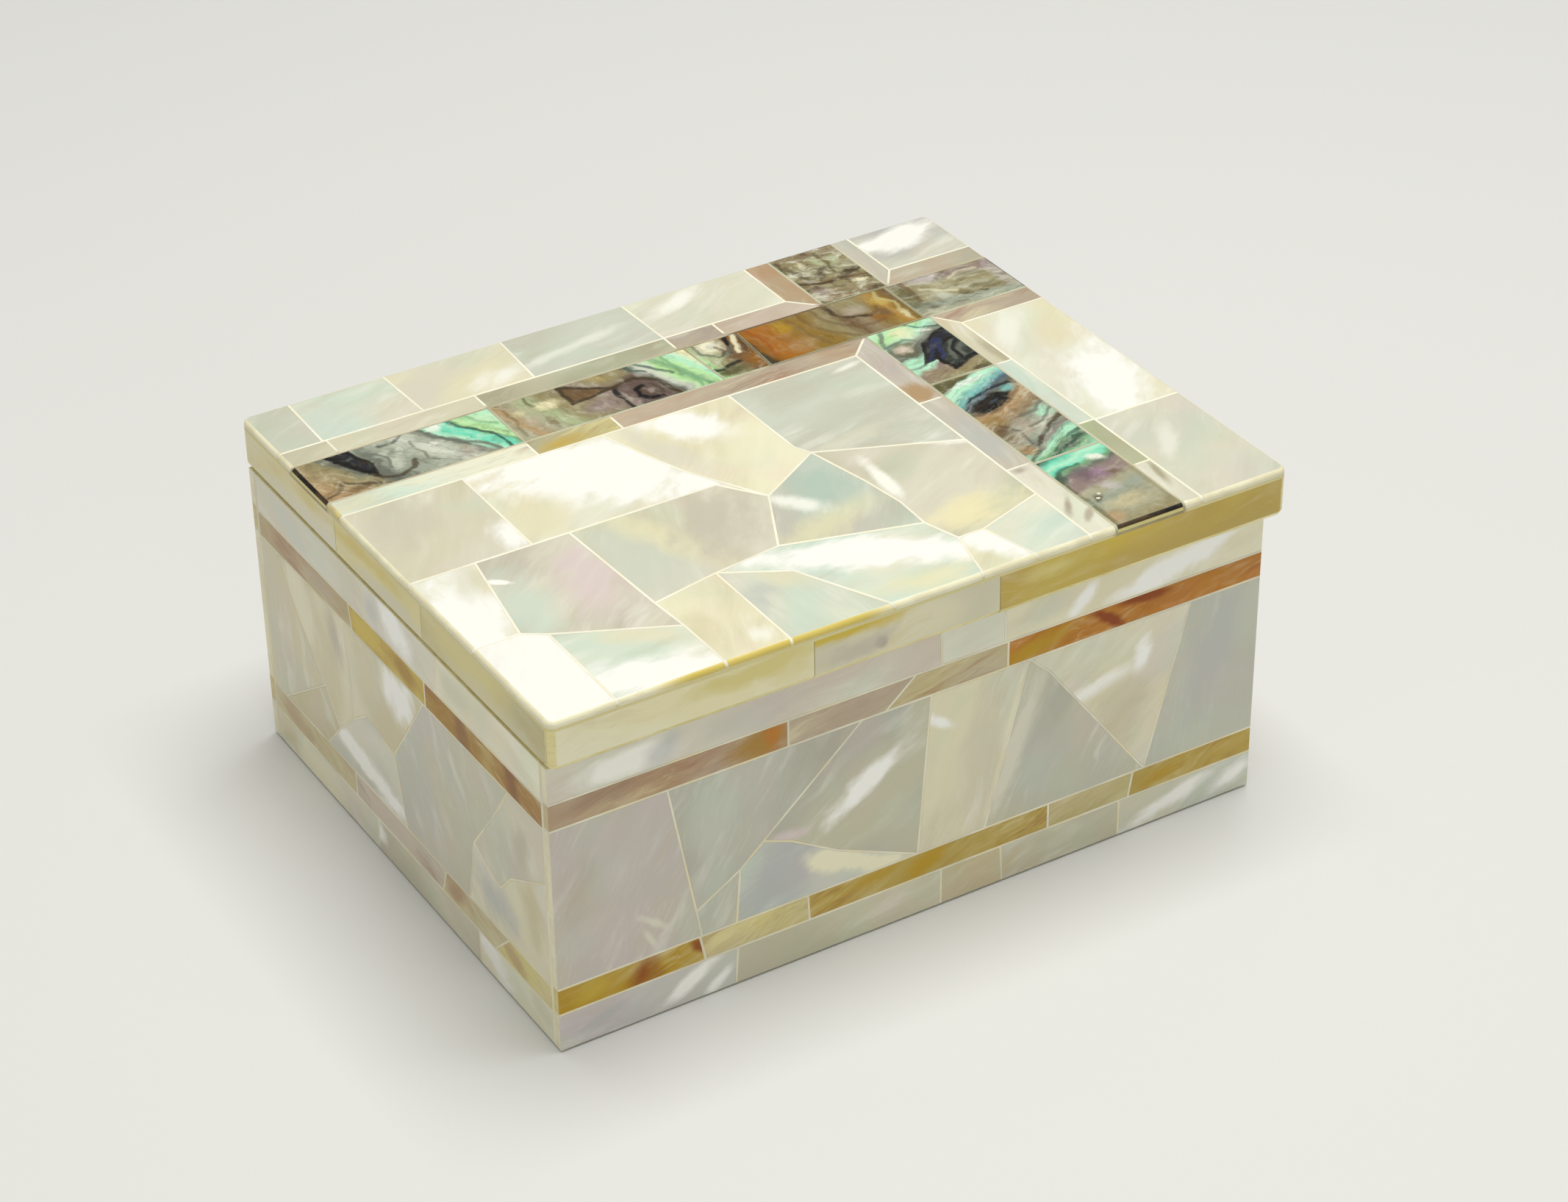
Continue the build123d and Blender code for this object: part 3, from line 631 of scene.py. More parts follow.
abaloneLooks["longFourth"] = {
    "middle": (83, 67.6), "slant": (1, 0.15), "mottle": 0.1, "streak": 0.08, "lines": 0.3,
    "bands": {
        70: "bark", 70.8: "russet", 73: "copper", 76: "bronze", 78.5: "ochre", 81.5: "ochre", 84: "khaki",
        86: "umber", 88: "taupe", 91: "ochre", 93: "caramel", 94.4: "ochre", 96: "umber",
    },
    "blots": [
        (73.8, 70, 2.2, 3, 0, "copper", 0.7), (76.8, 70.6, 1.6, 2, 0, "gold", 0.5),
        (77, 64.8, 2.6, 1.9, 20, "tan", 0.4), (82.2, 67.5, 1.2, 4, 12, "khaki", 0.5),
        (88.4, 71.2, 3.2, 3.2, 0, "khaki", 1), (88.3, 69.4, 2, 1.6, -10, "clay", 0.8),
        (90.8, 65.6, 1.6, 1.6, 0, "russet", 0.8), (93, 69.8, 1.6, 1, -40, "honey", 0.9),
        (92, 66.6, 1.1, 1.6, 15, "umber", 0.8), (94.4, 64.6, 0.6, 2, 0, "straw", 0.6),
    ],
    "strokes": [
        (0.36, "bark", 0.95, (84.9, 73), (85.3, 69.8), (86.8, 67.8), (89.6, 66.8)),
        (0.24, "umber", 0.7, (89.6, 66.8), (91, 67.4), (91.6, 68.8)),
        (0.3, "umber", 0.6, (82.6, 73), (83, 69), (85, 66.2), (88.6, 64.6), (91, 64.8)),
        (0.3, "umber", 0.55, (80.4, 73), (80.6, 68.8), (82.8, 64.8), (85, 62.6)),
        (0.3, "umber", 0.45, (78.4, 72), (78.9, 67.5), (80.4, 63)),
        (0.25, "rust", 0.5, (72, 72.6), (72.8, 68), (72, 64)),
        (0.2, "olive", 0.7, (93.8, 73), (93.2, 71), (94.8, 68.4), (94.4, 66)),
    ],
}
abaloneLooks["longFifth"] = {
    "middle": (105, 67.6), "slant": (0.15, 1), "mottle": 0.3, "streak": 0.34, "lines": 0.5,
    "bands": {
        61: "stonewash", 64: "silver", 66: "khaki", 67.4: "stonewash", 69: "khaki", 70.6: "stonewash", 72: "mauve",
        74.5: "taupe",
    },
    "blots": [
        (97.2, 68.5, 1.9, 5, 0, "moss", 0.7), (99, 64, 1.2, 0.8, 0, "bark", 0.6),
        (102.4, 72, 2.6, 1.4, 0, "lilac", 0.6), (102, 66.2, 1.8, 1, -35, "mist", 0.6),
        (105, 65, 0.9, 0.6, 0, "moss", 0.9), (108, 64.4, 1, 0.5, -20, "moss", 0.9),
        (112.6, 68, 1.2, 5, 0, "lilac", 0.5),
    ],
    "strokes": [
        (0.4, "umber", 0.7, (98.4, 73.4), (98.5, 70), (98.2, 66.5)),
        (0.3, "cream", 0.6, (100, 69.6), (102.4, 67.6), (104.6, 66.6)),
        (0.3, "cream", 0.5, (105.4, 70.6), (107.6, 71.4), (110.4, 71.2)),
        (0.28, "moss", 0.5, (105.4, 68.2), (108, 69.6), (111, 69.4)),
        (0.3, "moss", 0.5, (103.6, 71.2), (105.6, 72.6)),
        (0.3, "moss", 0.5, (107, 66.4), (109.6, 66), (111.6, 66.6)),
    ],
}
abaloneLooks["crossFirst"] = {
    "middle": (91, 10), "slant": (-0.25, 1), "mottle": 0.16, "streak": 0.14, "lines": 0.12,
    "bands": {
        -2: "umber", 0.2: "khaki", 3: "stonewash", 5.5: "stonewash", 7.5: "silver", 10: "stonewash", 11.2: "mauve",
        13.8: "mauve", 15: "slate", 16: "fern", 16.8: "turquoise", 17.8: "mint", 19: "turquoise", 20.5: "pine",
    },
    "blots": [
        (90, 13.2, 2.2, 2, 0, "plum", 0.8), (92, 13, 1.6, 1.4, 0, "orchid", 0.6),
        (93.6, 12, 1.6, 0.7, -20, "umber", 0.6), (86.4, 13.8, 0.8, 2, -15, "pine", 0.7),
        (90.6, 5, 3, 1.8, 0, "oat", 0.6), (86.8, 2.4, 2, 1.6, 0, "tan", 0.8),
        (93.6, 16.6, 1.5, 0.7, -30, "white", 0.8), (91, 9.4, 1.7, 1, -40, "lilac", 0.7),
        (94.6, 8, 1, 3, 0, "silver", 0.6), (87.6, 7.2, 1.1, 0.6, 60, "bark", 0.8),
        (87.7, 7.3, 0.36, 0.3, 40, "cream", 1), (88.4, 8.4, 0.3, 0.24, 40, "cream", 1),
    ],
    "strokes": [
        (0.34, "moss", 0.6, (85.8, 0), (86.1, 8), (85.8, 14)),
        (0.22, "pine", 0.7, (85.6, 13.8), (87.4, 15.8), (90.6, 16.2)),
        (0.34, "khaki", 0.5, (96.4, 0), (96.1, 8), (96.4, 15)),
    ],
}
abaloneLooks["crossSecond"] = {
    "middle": (91, 32), "slant": (-0.5, 1), "mottle": 0.25, "streak": 0.34, "lines": 0.4,
    "bands": {
        16: "mint", 19.4: "fern", 20.4: "pine", 21.6: "fern", 22.8: "mint", 24.4: "slate", 25.6: "silver",
        27.5: "clay", 29.5: "silver", 31: "taupe", 35: "tan", 38: "slate", 39.4: "steel", 40.6: "sky", 42.2: "mint",
        43.8: "mint", 44.6: "moss", 48: "moss",
    },
    "blots": [
        (93, 21, 1.9, 0.9, 25, "pine", 0.9), (94.6, 23.8, 1.9, 0.7, 40, "mint", 0.9),
        (87, 22.6, 1.4, 1.6, 0, "tan", 0.9), (86.8, 27.6, 1.9, 3.2, 0, "umber", 0.75),
        (87.4, 31.6, 1.8, 1.6, 0, "ochre", 0.6), (90.6, 29, 1.6, 2, 0, "clay", 0.8),
        (95, 30.6, 1.9, 1.7, 0, "mint", 0.8), (92.4, 34.4, 3.6, 0.9, 35, "tan", 0.9),
        (94.2, 38.6, 1.5, 1.1, 30, "sky", 0.9), (90.2, 36.3, 4.3, 1.9, 22, "ink", 1),
        (90.6, 36.6, 1, 0.4, 22, "steel", 0.3), (91, 41, 5, 0.7, 16, "sky", 0.7),
        (90.6, 43, 4, 0.7, 12, "glow", 0.6), (93.4, 28.4, 2.4, 0.7, 35, "mist", 0.8),
        (91.8, 25, 1.6, 0.5, 35, "mist", 0.6), (88, 44.4, 2.4, 0.8, 0, "moss", 0.8),
    ],
    "strokes": [
        (0.3, "bark", 0.85, (85.6, 19.8), (88.4, 22), (90.4, 24.6), (93, 26.6), (96.6, 29)),
        (0.2, "mauve", 0.7, (88.8, 22), (91.2, 24.4), (94, 25.8), (96.6, 27.6)),
        (0.2, "pine", 0.8, (90, 20.4), (92.4, 22.4), (96.4, 24.2)),
        (0.2, "slate", 0.8, (91, 28.2), (93.4, 28.6), (96.4, 31)),
        (0.2, "slate", 0.8, (91.6, 31), (94, 31.4), (96.6, 33.4)),
        (0.26, "navy", 0.9, (85.6, 36.2), (88, 38.6), (91.6, 39.7), (95.4, 40)),
        (0.22, "umber", 0.6, (86, 34.4), (88, 33.6), (91.6, 34.6), (95.8, 38)),
        (0.2, "bark", 0.5, (87.4, 30.2), (89, 27.4), (88.6, 24)),
    ],
}
abaloneLooks["crossThird"] = {
    "middle": (91, 53), "slant": (-0.4, 1), "mottle": 0.2, "streak": 0.3, "lines": 0.25,
    "bands": {
        42: "moss", 45.4: "khaki", 47: "taupe", 49.6: "mauve", 50.8: "mint", 53: "mint", 54.4: "slate", 56: "slate",
        57.4: "silver", 59: "mint", 60.6: "lime", 64: "mint",
    },
    "blots": [
        (87.8, 55.8, 2.3, 2.5, 0, "moss", 0.85), (87.8, 55.8, 1.3, 1.2, 0, "blush", 1),
        (87, 51.8, 1.6, 1.2, 0, "mint", 0.9), (90.4, 59.8, 1.8, 2, 20, "straw", 0.7),
        (88, 47.6, 2.2, 1.6, 0, "taupe", 0.8), (94.8, 45.6, 1.5, 0.9, 0, "bark", 0.8),
        (93.8, 60.4, 2.4, 0.8, -20, "mint", 0.9), (93.4, 59, 1.6, 0.4, -25, "white", 0.5),
    ],
    "shapes": [
        ("navy", "ink", (88.2, 50.4), (92.4, 51.2), (96.8, 55), (96.8, 58.6), (91.4, 55.6)),
        ("gloom", "ink", (90.8, 50.6), (91.6, 47.2), (96.8, 49.4), (96.8, 55.8), (92.6, 54)),
    ],
    "strokes": [
        (0.28, "indigo", 0.9, (91.6, 50.4), (92.2, 52.6), (94, 55.6)),
        (0.2, "indigo", 0.7, (89.4, 50.8), (91.4, 53.4), (93.6, 56)),
        (0.3, "slate", 0.7, (93, 49.4), (93.4, 52), (95.4, 54.2)),
        (0.2, "silver", 0.3, (94.6, 49.8), (94.8, 51.8), (96.2, 53)),
        (0.14, "ink", 0.9, (94, 49.2), (94.2, 52.4), (96, 54.2)),
        (0.36, "ink", 1, (96.4, 49.4), (91.7, 47.2), (90.8, 49.6), (91.3, 52.2)),
        (0.3, "slate", 0.8, (86, 57.4), (86.9, 59.6), (88, 61.6)),
        (0.22, "pine", 0.8, (91.8, 61.8), (93.6, 60), (96.4, 58.9)),
        (0.22, "slate", 0.7, (85.8, 54), (86.4, 57.4), (89.4, 58.2), (90.8, 57)),
        (0.2, "slate", 0.7, (88.3, 50.3), (87, 49.8), (85.7, 49.9)),
    ],
}
abaloneLooks["crossFourth"] = {
    "middle": (91, 83), "slant": (0.2, 1), "mottle": 0.6, "streak": 0.5, "lines": 0.7,
    "bands": {74: "taupe", 77.5: "khaki", 79: "umber", 80.6: "khaki", 83: "stonewash", 85: "khaki", 88: "taupe"},
    "blots": [
        (87.4, 76.8, 2, 1.8, 0, "mauve", 0.7), (94.4, 76.9, 1.4, 0.6, -10, "cream", 1),
        (91.4, 79, 0.7, 0.5, 0, "cream", 0.9), (94.4, 80.2, 2, 0.9, 10, "bark", 0.9),
        (87.4, 82.8, 0.7, 3, 10, "bark", 0.8), (90, 81.4, 0.9, 1.6, -20, "bark", 0.7),
        (91.8, 85, 0.8, 2, 15, "sage", 0.8), (89, 85.4, 0.6, 1.4, 0, "cream", 0.6),
        (94.6, 84.6, 0.7, 2, -15, "sage", 0.8),
    ],
    "strokes": [
        (0.28, "bark", 0.85, (85.6, 80.4), (88, 79.4), (90.4, 78.8), (93, 79.2), (96.4, 80.4)),
        (0.24, "moss", 0.8, (92.8, 87.6), (93.2, 84), (92.4, 81)), (0.3, "bark", 0.6, (86.4, 87.6), (86, 84.6)),
    ],
}
abaloneGrain = {
    "small": 0.45,  # mm; blots with a half width below this keep a crisp outline
    "stretch": 0.72,  # share taken off places along the bands, which draws the streaks out
    "spacing": 0.55,  # between growth lines in mm
    "far": 99.0,
}


def strokeGap(f, place, path):
    gap = abaloneGrain["far"]
    for start, end in zip(path, path[1:]):
        reach = Vector((*end, 0)) - Vector((*start, 0))
        away = f.vector("SUBTRACT", place, (*start, 0))
        share = f.node("Clamp", {}, {0: f.vector("DOT_PRODUCT", away, reach / reach.length_squared)})
        gap = f.sum("MINIMUM", gap, f.vector("DISTANCE", away, f.scale(reach, share)))
    return gap


# How far a place is outside a convex shape whose corners run anticlockwise, below 0 inside
def shapeGap(f, place, corners):
    gap = -abaloneGrain["far"]
    for start, end in zip(corners, corners[1:] + corners[:1]):
        out = Vector((end[1] - start[1], start[0] - end[0], 0)).normalized()
        gap = f.sum("MAXIMUM", gap, f.vector("DOT_PRODUCT", place, out) - out.dot(Vector((*start, 0))))
    return gap


def abaloneFinish(name, look):
    f = Finish(name)
    place = f.place(lidCorner)
    swirl = f.vector("SUBTRACT", f.noise(place, 3.4, 2, 0.5, 1), (0.5, 0.5, 0.5))
    ripple = f.vector("SUBTRACT", f.noise(place, 0.9, 2, 0.6, 1), (0.5, 0.5, 0.5))

    # the place pushed about in the lid's plane by the two noises, each by a reach in mm
    def pushed(wide, fine, plane=(1, 1, 0)):
        moved = f.vector("ADD", place, f.vector("MULTIPLY", swirl, (wide, wide, 0)))
        moved = f.vector("ADD", moved, f.vector("MULTIPLY", ripple, (fine, fine, 0)))
        return f.vector("MULTIPLY", moved, plane)

    bent, near, blurred = pushed(2.6, 0.6, (1, 1, 1)), pushed(1.3, 0.35), pushed(1.3, 1.4)
    slant = Vector((*look["slant"], 0))
    middle = Vector((*look["middle"], 0))
    offset = middle.dot(slant) - middle[look["slant"].index(1)]
    grown = f.vector("DOT_PRODUCT", bent, slant) - offset
    first, last = min(look["bands"]), max(look["bands"])
    stops = [((at - first) / (last - first), tints[tint]) for at, tint in look["bands"].items()]
    colour = f.node("ValToRGB", {"stops": stops}, {0: (grown - first) / (last - first)})
    for u, v, long, wide, turn, tint, strength in look["blots"]:
        small = min(long, wide) < abaloneGrain["small"]
        away = f.vector("SUBTRACT", near if small else blurred, (u, v, 0))
        spin = math.radians(turn)
        x = f.vector("DOT_PRODUCT", away, (math.cos(spin) / long, math.sin(spin) / long, 0))
        y = f.vector("DOT_PRODUCT", away, (-math.sin(spin) / wide, math.cos(spin) / wide, 0))
        crisp = 0.25 if tint == "ink" or small else 0.7
        reach = (x * x + y * y) ** 0.5
        colour = f.mix(f.ease(reach, 1 + crisp * 0.5, 1 - crisp) * strength, colour, tints[tint])
    for fill, outline, *corners in look.get("shapes", ()):
        gap = shapeGap(f, near, corners)
        colour = f.mix(f.ease(gap, 0.1, -0.15), colour, tints[fill])
        colour = f.mix(f.ease(f.sum("ABSOLUTE", gap + 0.15), 0.5, 0.2) * 0.95, colour, tints[outline])
    # growth lines beside one another, then patches and streaks of light and dark
    across = Vector((-slant.y, slant.x, 0)).normalized()
    squeeze = f.vector("DOT_PRODUCT", bent, across) * -abaloneGrain["stretch"]
    patch = f.noise(near, 2.2, 3, 0.6)
    streak = f.noise(f.vector("ADD", bent, f.scale(across, squeeze)), 1.1, 4, 0.65)
    lines = f.sum("PINGPONG", grown + f.noise(near, 5, 2) * 4, abaloneGrain["spacing"])
    where = f.ease(f.noise(near, 4, 2), 0.45, 0.62)
    colour = f.mix(f.ease(lines, 0.16, 0.02) * where * look["lines"], colour, tints["bark"])
    shine = f.ease(colour.part(1), 0.02, 0.22, 0.32, 1)
    for grain, amount in ((patch, look["mottle"]), (streak, look["streak"])):
        colour = f.mix(f.ease(grain, 0.52, 0.68, 0, amount), colour, tints["bark"])
        colour = f.mix(f.ease(grain, 0.48, 0.3, 0, amount) * shine, colour, tints["pearl"])
    for wide, tint, strength, *path in look["strokes"]:
        gap = strokeGap(f, near, path) + (patch - 0.5) * wide * 2.4
        broken = f.ease(streak, 0.3, 0.5, 0.45, 1)
        colour = f.mix(f.ease(gap, wide + 0.3, wide * 0.4) * broken * strength, colour, tints[tint])
    return f.surface({
        "Base Color": colour,
        "Roughness": 0.2 + patch * 0.2,
        "Metallic": 0.1,
        "Specular IOR Level": 0.18,
        "Normal": f.bump(patch * 0.12 + swirl.part(0) * 0.3 + streak * 0.05),
        "Coat Weight": 0.06,
        "Coat Roughness": 0.05,
    })


abaloneFinishes = [abaloneFinish(name, look) for name, look in abaloneLooks.items()]
places = [look["middle"] for look in abaloneLooks.values()]
for node in ("lid_long_abalone", "lid_cross_abalone"):
    work, parts, layers = openPieces(node)
    for part in parts:
        spot = faceSpot("lid", partMiddle(part))
        chosen = min(range(len(places)), key=lambda k: math.dist(places[k], spot[:2]))
        for face in {face for vert in part for face in vert.link_faces}:
            face.material_index = chosen
    closePieces(work, node, "lid", "abalone", abaloneFinishes)
print("abalone bands cut")

# Front, piece by piece: along from the left and up from the ground
frontLooks = {
    "field": [
        (10, 22, "dove", "thistle", 60,
            (14.4, 15.4, 3, 0.55, -38, "bone", 1), (14, 12.6, 2.6, 0.5, -62, "bone", 1),
            (4, 24, 6, 3, 80, "clay", 0.3)),
        (29, 28, "ash", "pewter", 60, (40, 33, 5, 3.4, 30, "clay", 0.35), (24, 28, 5, 3, 60, "mist", 0.4)),
        (24.5, 14, "sand", "ash", 60),
        (37, 14.5, "haze", "mist", 20, (46, 12.6, 9, 1.7, -26, "ivory", 1.5), (33, 17, 5, 3, 60, "haze", 0.8)),
        (46, 24, "stone", "pewter", 32, (46.8, 25, 7, 1.5, 34, "glow", 1.4), (35.4, 21, 2.6, 0.9, -5, "petal", 0.8)),
        (63, 23, "cream", "sand", 75,
            (58.8, 30.4, 2.4, 0.9, -30, "glow", 1.1), (69.8, 22, 13, 1.2, 75, "ivory", 0.8)),
        (77, 20, "stone", "ash", 60, (71.4, 24, 11, 1.7, 72, "bone", 1.3), (77, 27, 6, 2.4, 60, "shade", 0.8)),
        (88, 28, "cream", "bone", 35,
            (85, 27.2, 5.4, 1.1, 12, "white", 1), (91.6, 29.4, 2.2, 1.2, 70, "glow", 1.3),
            (87.4, 20.4, 6, 4.4, 60, "fawn", 0.6)),
        (103, 23, "grey", "ash", 80, (104, 26, 9, 4, 80, "haze", 0.6)),
    ],
    "bottom_course": [
        (13, 3, "lilac", "mist", 15,
            (20, 4, 5, 1.1, 30, "glow", 1.3), (24, 2, 2.4, 0.8, 40, "glow", 1), (6, 3, 4, 1, 20, "haze", 0.6)),
        (43, 3, "stone", "sand", 10),
        (64, 3, "stone", "wheat", 20),
        (79, 3, "stone", "fawn", 15, (70, 3, 3, 1, 40, "wheat", 0.5)),
        (100, 3, "mist", "sand", 20, (97, 3, 6, 1.2, 15, "glow", 1.1), (108, 3, 3, 1.4, 20, "glow", 1)),
    ],
    "top_course": [
        (29, 42, "bone", "blush", 10,
            (12, 41.8, 7, 1.7, 5, "white", 1), (17.4, 42.6, 3, 1.6, 40, "haze", 0.6), (30, 42, 7, 2, 0, "haze", 0.3)),
        (64, 42, "pearl", "bone", 20),
        (90, 42, "ivory", "cream", 15,
            (97, 42.4, 9, 1.7, 12, "glow", 1.4), (81.6, 42, 3, 1.1, 45, "glow", 1.4),
            (75.6, 42.2, 4.6, 1.5, 15, "haze", 0.25)),
    ],
    "lower_strip": [
        (11, 8, "gold", "honey", 20,
            (12.6, 8.4, 3.4, 2.2, 70, "rust", 0.9), (21.4, 8.6, 1.6, 0.7, -45, "rust", 0.9),
            (5, 8, 3, 1.6, 20, "brassy", 0.4)),
        (30, 8, "butter", "wheat", 20, (24, 8.6, 3, 1, 15, "lemon", 0.6)),
        (57, 8, "honey", "mustard", 20, (56, 8, 4, 2, 40, "gold", 0.9), (48, 9, 4, 1, 10, "gold", 0.7)),
        (83, 8, "wheat", "olive", 20),
        (100, 8, "honey", "mustard", 20, (96, 8, 4, 1.4, 15, "gold", 0.7)),
    ],
    "upper_strip": [
        (17, 37, "cocoa", "rose", 10,
            (31.6, 37.4, 4.6, 2.6, 5, "caramel", 1.1), (33, 38, 1.4, 2.4, 0, "orange", 0.8),
            (9, 38, 6, 1.2, 5, "dusk", 0.4)),
        (43, 37, "fawn", "rose", 10, (44, 37, 3, 1.6, 10, "rose", 0.8)),
        (62, 37, "fawn", "wheat", 10),
        (90, 37, "orange", "amber", 15,
            (85.4, 37.6, 3.8, 0.8, -38, "rust", 1.1), (90.8, 38.9, 4.4, 0.7, -6, "rust", 1),
            (74, 37, 6, 1.8, 10, "gold", 0.9)),
    ],
}
leftLooks = {
    "field": [
        (11, 28, "sand", "dove", 60, (9, 29, 4, 2.4, -50, "clay", 0.5)),
        (14, 15, "bone", "cream", 50, (7, 19, 6, 2.6, 80, "oat", 1), (18, 14, 6, 3, 0, "haze", 0.7)),
        (31, 23, "stone", "ash", 60),
        (50, 28, "oat", "cream", 60, (44, 31.4, 4.4, 3, -30, "glow", 1.5), (48, 25, 4, 2, -60, "oat", 0.9)),
        (55, 16, "ash", "bone", 5, (54, 12.8, 10, 1.7, 8, "glow", 1.6)),
        (68, 27, "cream", "oat", 80, (63.4, 30, 4.4, 2.2, 80, "clay", 0.7), (74, 30, 6, 3, 60, "ivory", 0.6)),
        (71, 13, "wheat", "olive", 40),
        (79, 22, "stone", "oat", 80),
    ],
    "bottom_course": [
        (13, 3, "ivory", "pearl", 20, (19, 3.4, 5, 2.2, 30, "glow", 1.5), (6, 4, 3, 1.6, 20, "sand", 0.7)),
        (39, 3, "stone", "sand", 15, (54, 3.4, 2.4, 1.8, 30, "glow", 1.1)),
        (70, 3, "bone", "ivory", 20, (83, 4, 4, 3, 0, "oat", 0.9)),
    ],
    "top_course": [
        (18, 42, "ivory", "cream", 10, (26, 42, 4, 2, 0, "sand", 0.8)),
        (43, 42, "bone", "cream", 20, (43, 42.5, 3.8, 2.4, 10, "glow", 1.4), (50, 42, 2, 2, 0, "haze", 0.6)),
        (70, 42, "bone", "sand", 15, (76, 42, 5, 1.6, 15, "mist", 0.8)),
    ],
    "lower_strip": [
        (9, 7.5, "oat", "butter", 15, (13, 7.5, 3, 1.4, 15, "cocoa", 0.6)),
        (25, 7.5, "oat", "rose", 15, (29.4, 8, 3, 1.5, -20, "cocoa", 0.9)),
        (46, 7.5, "blush", "dove", 15),
        (72, 7.5, "oat", "wheat", 15, (80, 8, 4, 1.6, 10, "cocoa", 0.7)),
    ],
    "upper_strip": [
        (18, 37, "toffee", "caramel", 12,
            (11, 37, 4, 1.6, 70, "russet", 1.1), (24.6, 37, 3, 1.6, 80, "russet", 0.8),
            (17.6, 37.6, 3, 1.4, 80, "honey", 0.4)),
        (46, 37, "brassy", "gold", 15, (41, 37.4, 5, 1.6, 10, "toffee", 0.9), (53, 37, 4, 2, 0, "brassy", 0.9)),
        (72, 37, "tan", "olive", 10, (66, 37, 5, 1.6, 0, "rose", 0.7)),
    ],
}


# A side that the photograph doesn't show: the same kinds of shell, drawn by lot
hiddenTints = {
    "pearl_shell": ["pearl", "mist", "sand", "cream", "grey", "shade", "blush"],
    "brown_shell": ["gold", "honey", "amber", "rose", "cocoa", "wheat"],
    "gold_shell": ["brassy", "butter", "lemon"],
}


drawn = {
    "cloudy": 0.6,  # share of pieces with a cloud
    "long": (3, 8),
    "wide": (0.8, 3),
    "strength": (0.5, 1.1),
    "grain": (10, 80),
}


def drawnLooks(node, side, slot):
    rng = random.Random("drawn " + node)
    work, parts, layers = openPieces(node)
    looks = []
    for part in parts:
        spot = faceSpot(side, partMiddle(part))[:2]
        tint, drift = rng.sample(hiddenTints[slot], 2)
        clouds = []
        if rng.random() < drawn["cloudy"]:
            # on the pearl shell the cloud is a painted highlight in glow and white; on the brown shell it is a patch
            # of the shell's own colour
            glowTint = rng.choice(["russet", "orange", "brassy"] if slot == "brown_shell" else ["glow", "white"])
            size = rng.uniform(*drawn["long"]), rng.uniform(*drawn["wide"])
            clouds = [(*spot, *size, rng.uniform(0, 90), glowTint, rng.uniform(*drawn["strength"]))]
        looks.append((*spot, tint, drift, rng.uniform(*drawn["grain"]), *clouds))
    work.free()
    return looks


for side in ("front", "left", "back", "right"):
    known = {"front": frontLooks, "left": leftLooks}.get(side, {})
    for course in ("bottom_course", "lower_strip", "field", "upper_strip", "top_course"):
        node = side + "_" + course
        slot = "brown_shell" if "strip" in course else "pearl_shell"
        cutPieces(node, side, slot, known.get(course) or drawnLooks(node, side, slot))
print("case sides cut")

rimLooks = {
    "front": [
        (19, 48, "straw", "ivory", 5, (31, 49.8, 9, 1.4, 3, "butter", 1.1), (36, 48.4, 3, 3, 0, "butter", 0.6)),
        (53, 48, "sand", "cream", 8,
            (48.6, 47.4, 0.9, 0.7, -40, "plum", 0.7), (45, 47.5, 5, 1.6, 5, "dove", 0.8),
            (41, 50.8, 9, 1.0, 0, "brassy", 1.1)),
        (90, 48, "brassy", "honey", 5, (76, 49.4, 6, 1.4, 3, "butter", 0.8), (104, 46, 10, 1.4, 0, "mustard", 0.8)),
    ],
    "left": [
        (17, 48, "butter", "olive", 5, (16, 46.4, 14, 1.5, 0, "sand", 0.5)),
        (47, 48, "lemon", "butter", 5, (42, 46.4, 14, 1.5, 0, "sand", 0.8), (52, 49.8, 10, 1.3, 0, "brassy", 0.7)),
        (74, 48, "cream", "butter", 5, (72, 46.4, 14, 1.5, 0, "bone", 0.7), (66, 50, 12, 1.2, 0, "brassy", 0.5)),
    ],
}
for side in ("front", "left", "back", "right"):
    node = "lid_rim_" + side
    cutPieces(node, side, "gold_shell", rimLooks.get(side) or drawnLooks(node, side, "gold_shell"))
print("lid edge cut")

# Filler, wood and brass: the CAD's own shapes with their finishes
filler = {
    "tint": tone(242, 238, 217),
    "dark": tone(225, 220, 198),
    "warm": tone(240, 228, 186),
    "stain": tone(146, 130, 92),
    "tiles": (50.4, 51.2),  # the lid's pieces begin between these heights, mm
    "top": (51.7, 52),
    "longBand": (67.6, 6.6, 5.4),  # an abalone band's middle, and where its stain begins and is full
    "crossBand": (91, 6.4, 5.2),
    "amber": (82.5, 15.5, 12),  # the darker stretch of the long band
}


def fillerFinish(look):
    f = Finish("filler")
    place, spot = f.place(), f.place(lidCorner)
    cloud = f.noise(place, 9, 3)
    warmth = f.noise(f.vector("ADD", place, (40, 9, 3)), 7, 2)
    grit = f.noise(place, 0.25, 2)
    colour = f.mix(f.ease(cloud, 0.4, 0.62), look["tint"], look["dark"])
    colour = f.mix(f.ease(warmth, 0.48, 0.62, 0, 0.7), colour, look["warm"])

    def beside(axis, band):
        middle, start, full = look[band]
        return f.ease(f.sum("ABSOLUTE", spot.part(axis) - middle), start, full)

    # whiter between the lid's tiles, golden under them, darker in and beside the abalone bands
    low, high = look["top"]
    tiled = f.ease(spot.part(2), *look["tiles"])
    colour = f.mix(f.ease(spot.part(2), low, high, 0, 0.35), colour, tints["white"])
    colour = f.mix(tiled * f.ease(spot.part(2), high, low, 0, 0.8), colour, tints["butter"])
    long = beside(1, "longBand")
    sooty = beside(0, "amber") * long
    colour = f.mix(tiled * sooty, colour, tints["umber"])
    stain = f.sum("MAXIMUM", long * (1 - sooty), beside(0, "crossBand"))
    return f.surface({
        "Base Color": f.mix(stain * tiled * f.ease(cloud, 0.3, 0.6, 0.9, 0.6), colour, look["stain"]),
        "Roughness": 0.4 + grit * 0.2,
        "Normal": f.bump(grit * 0.02),
    })


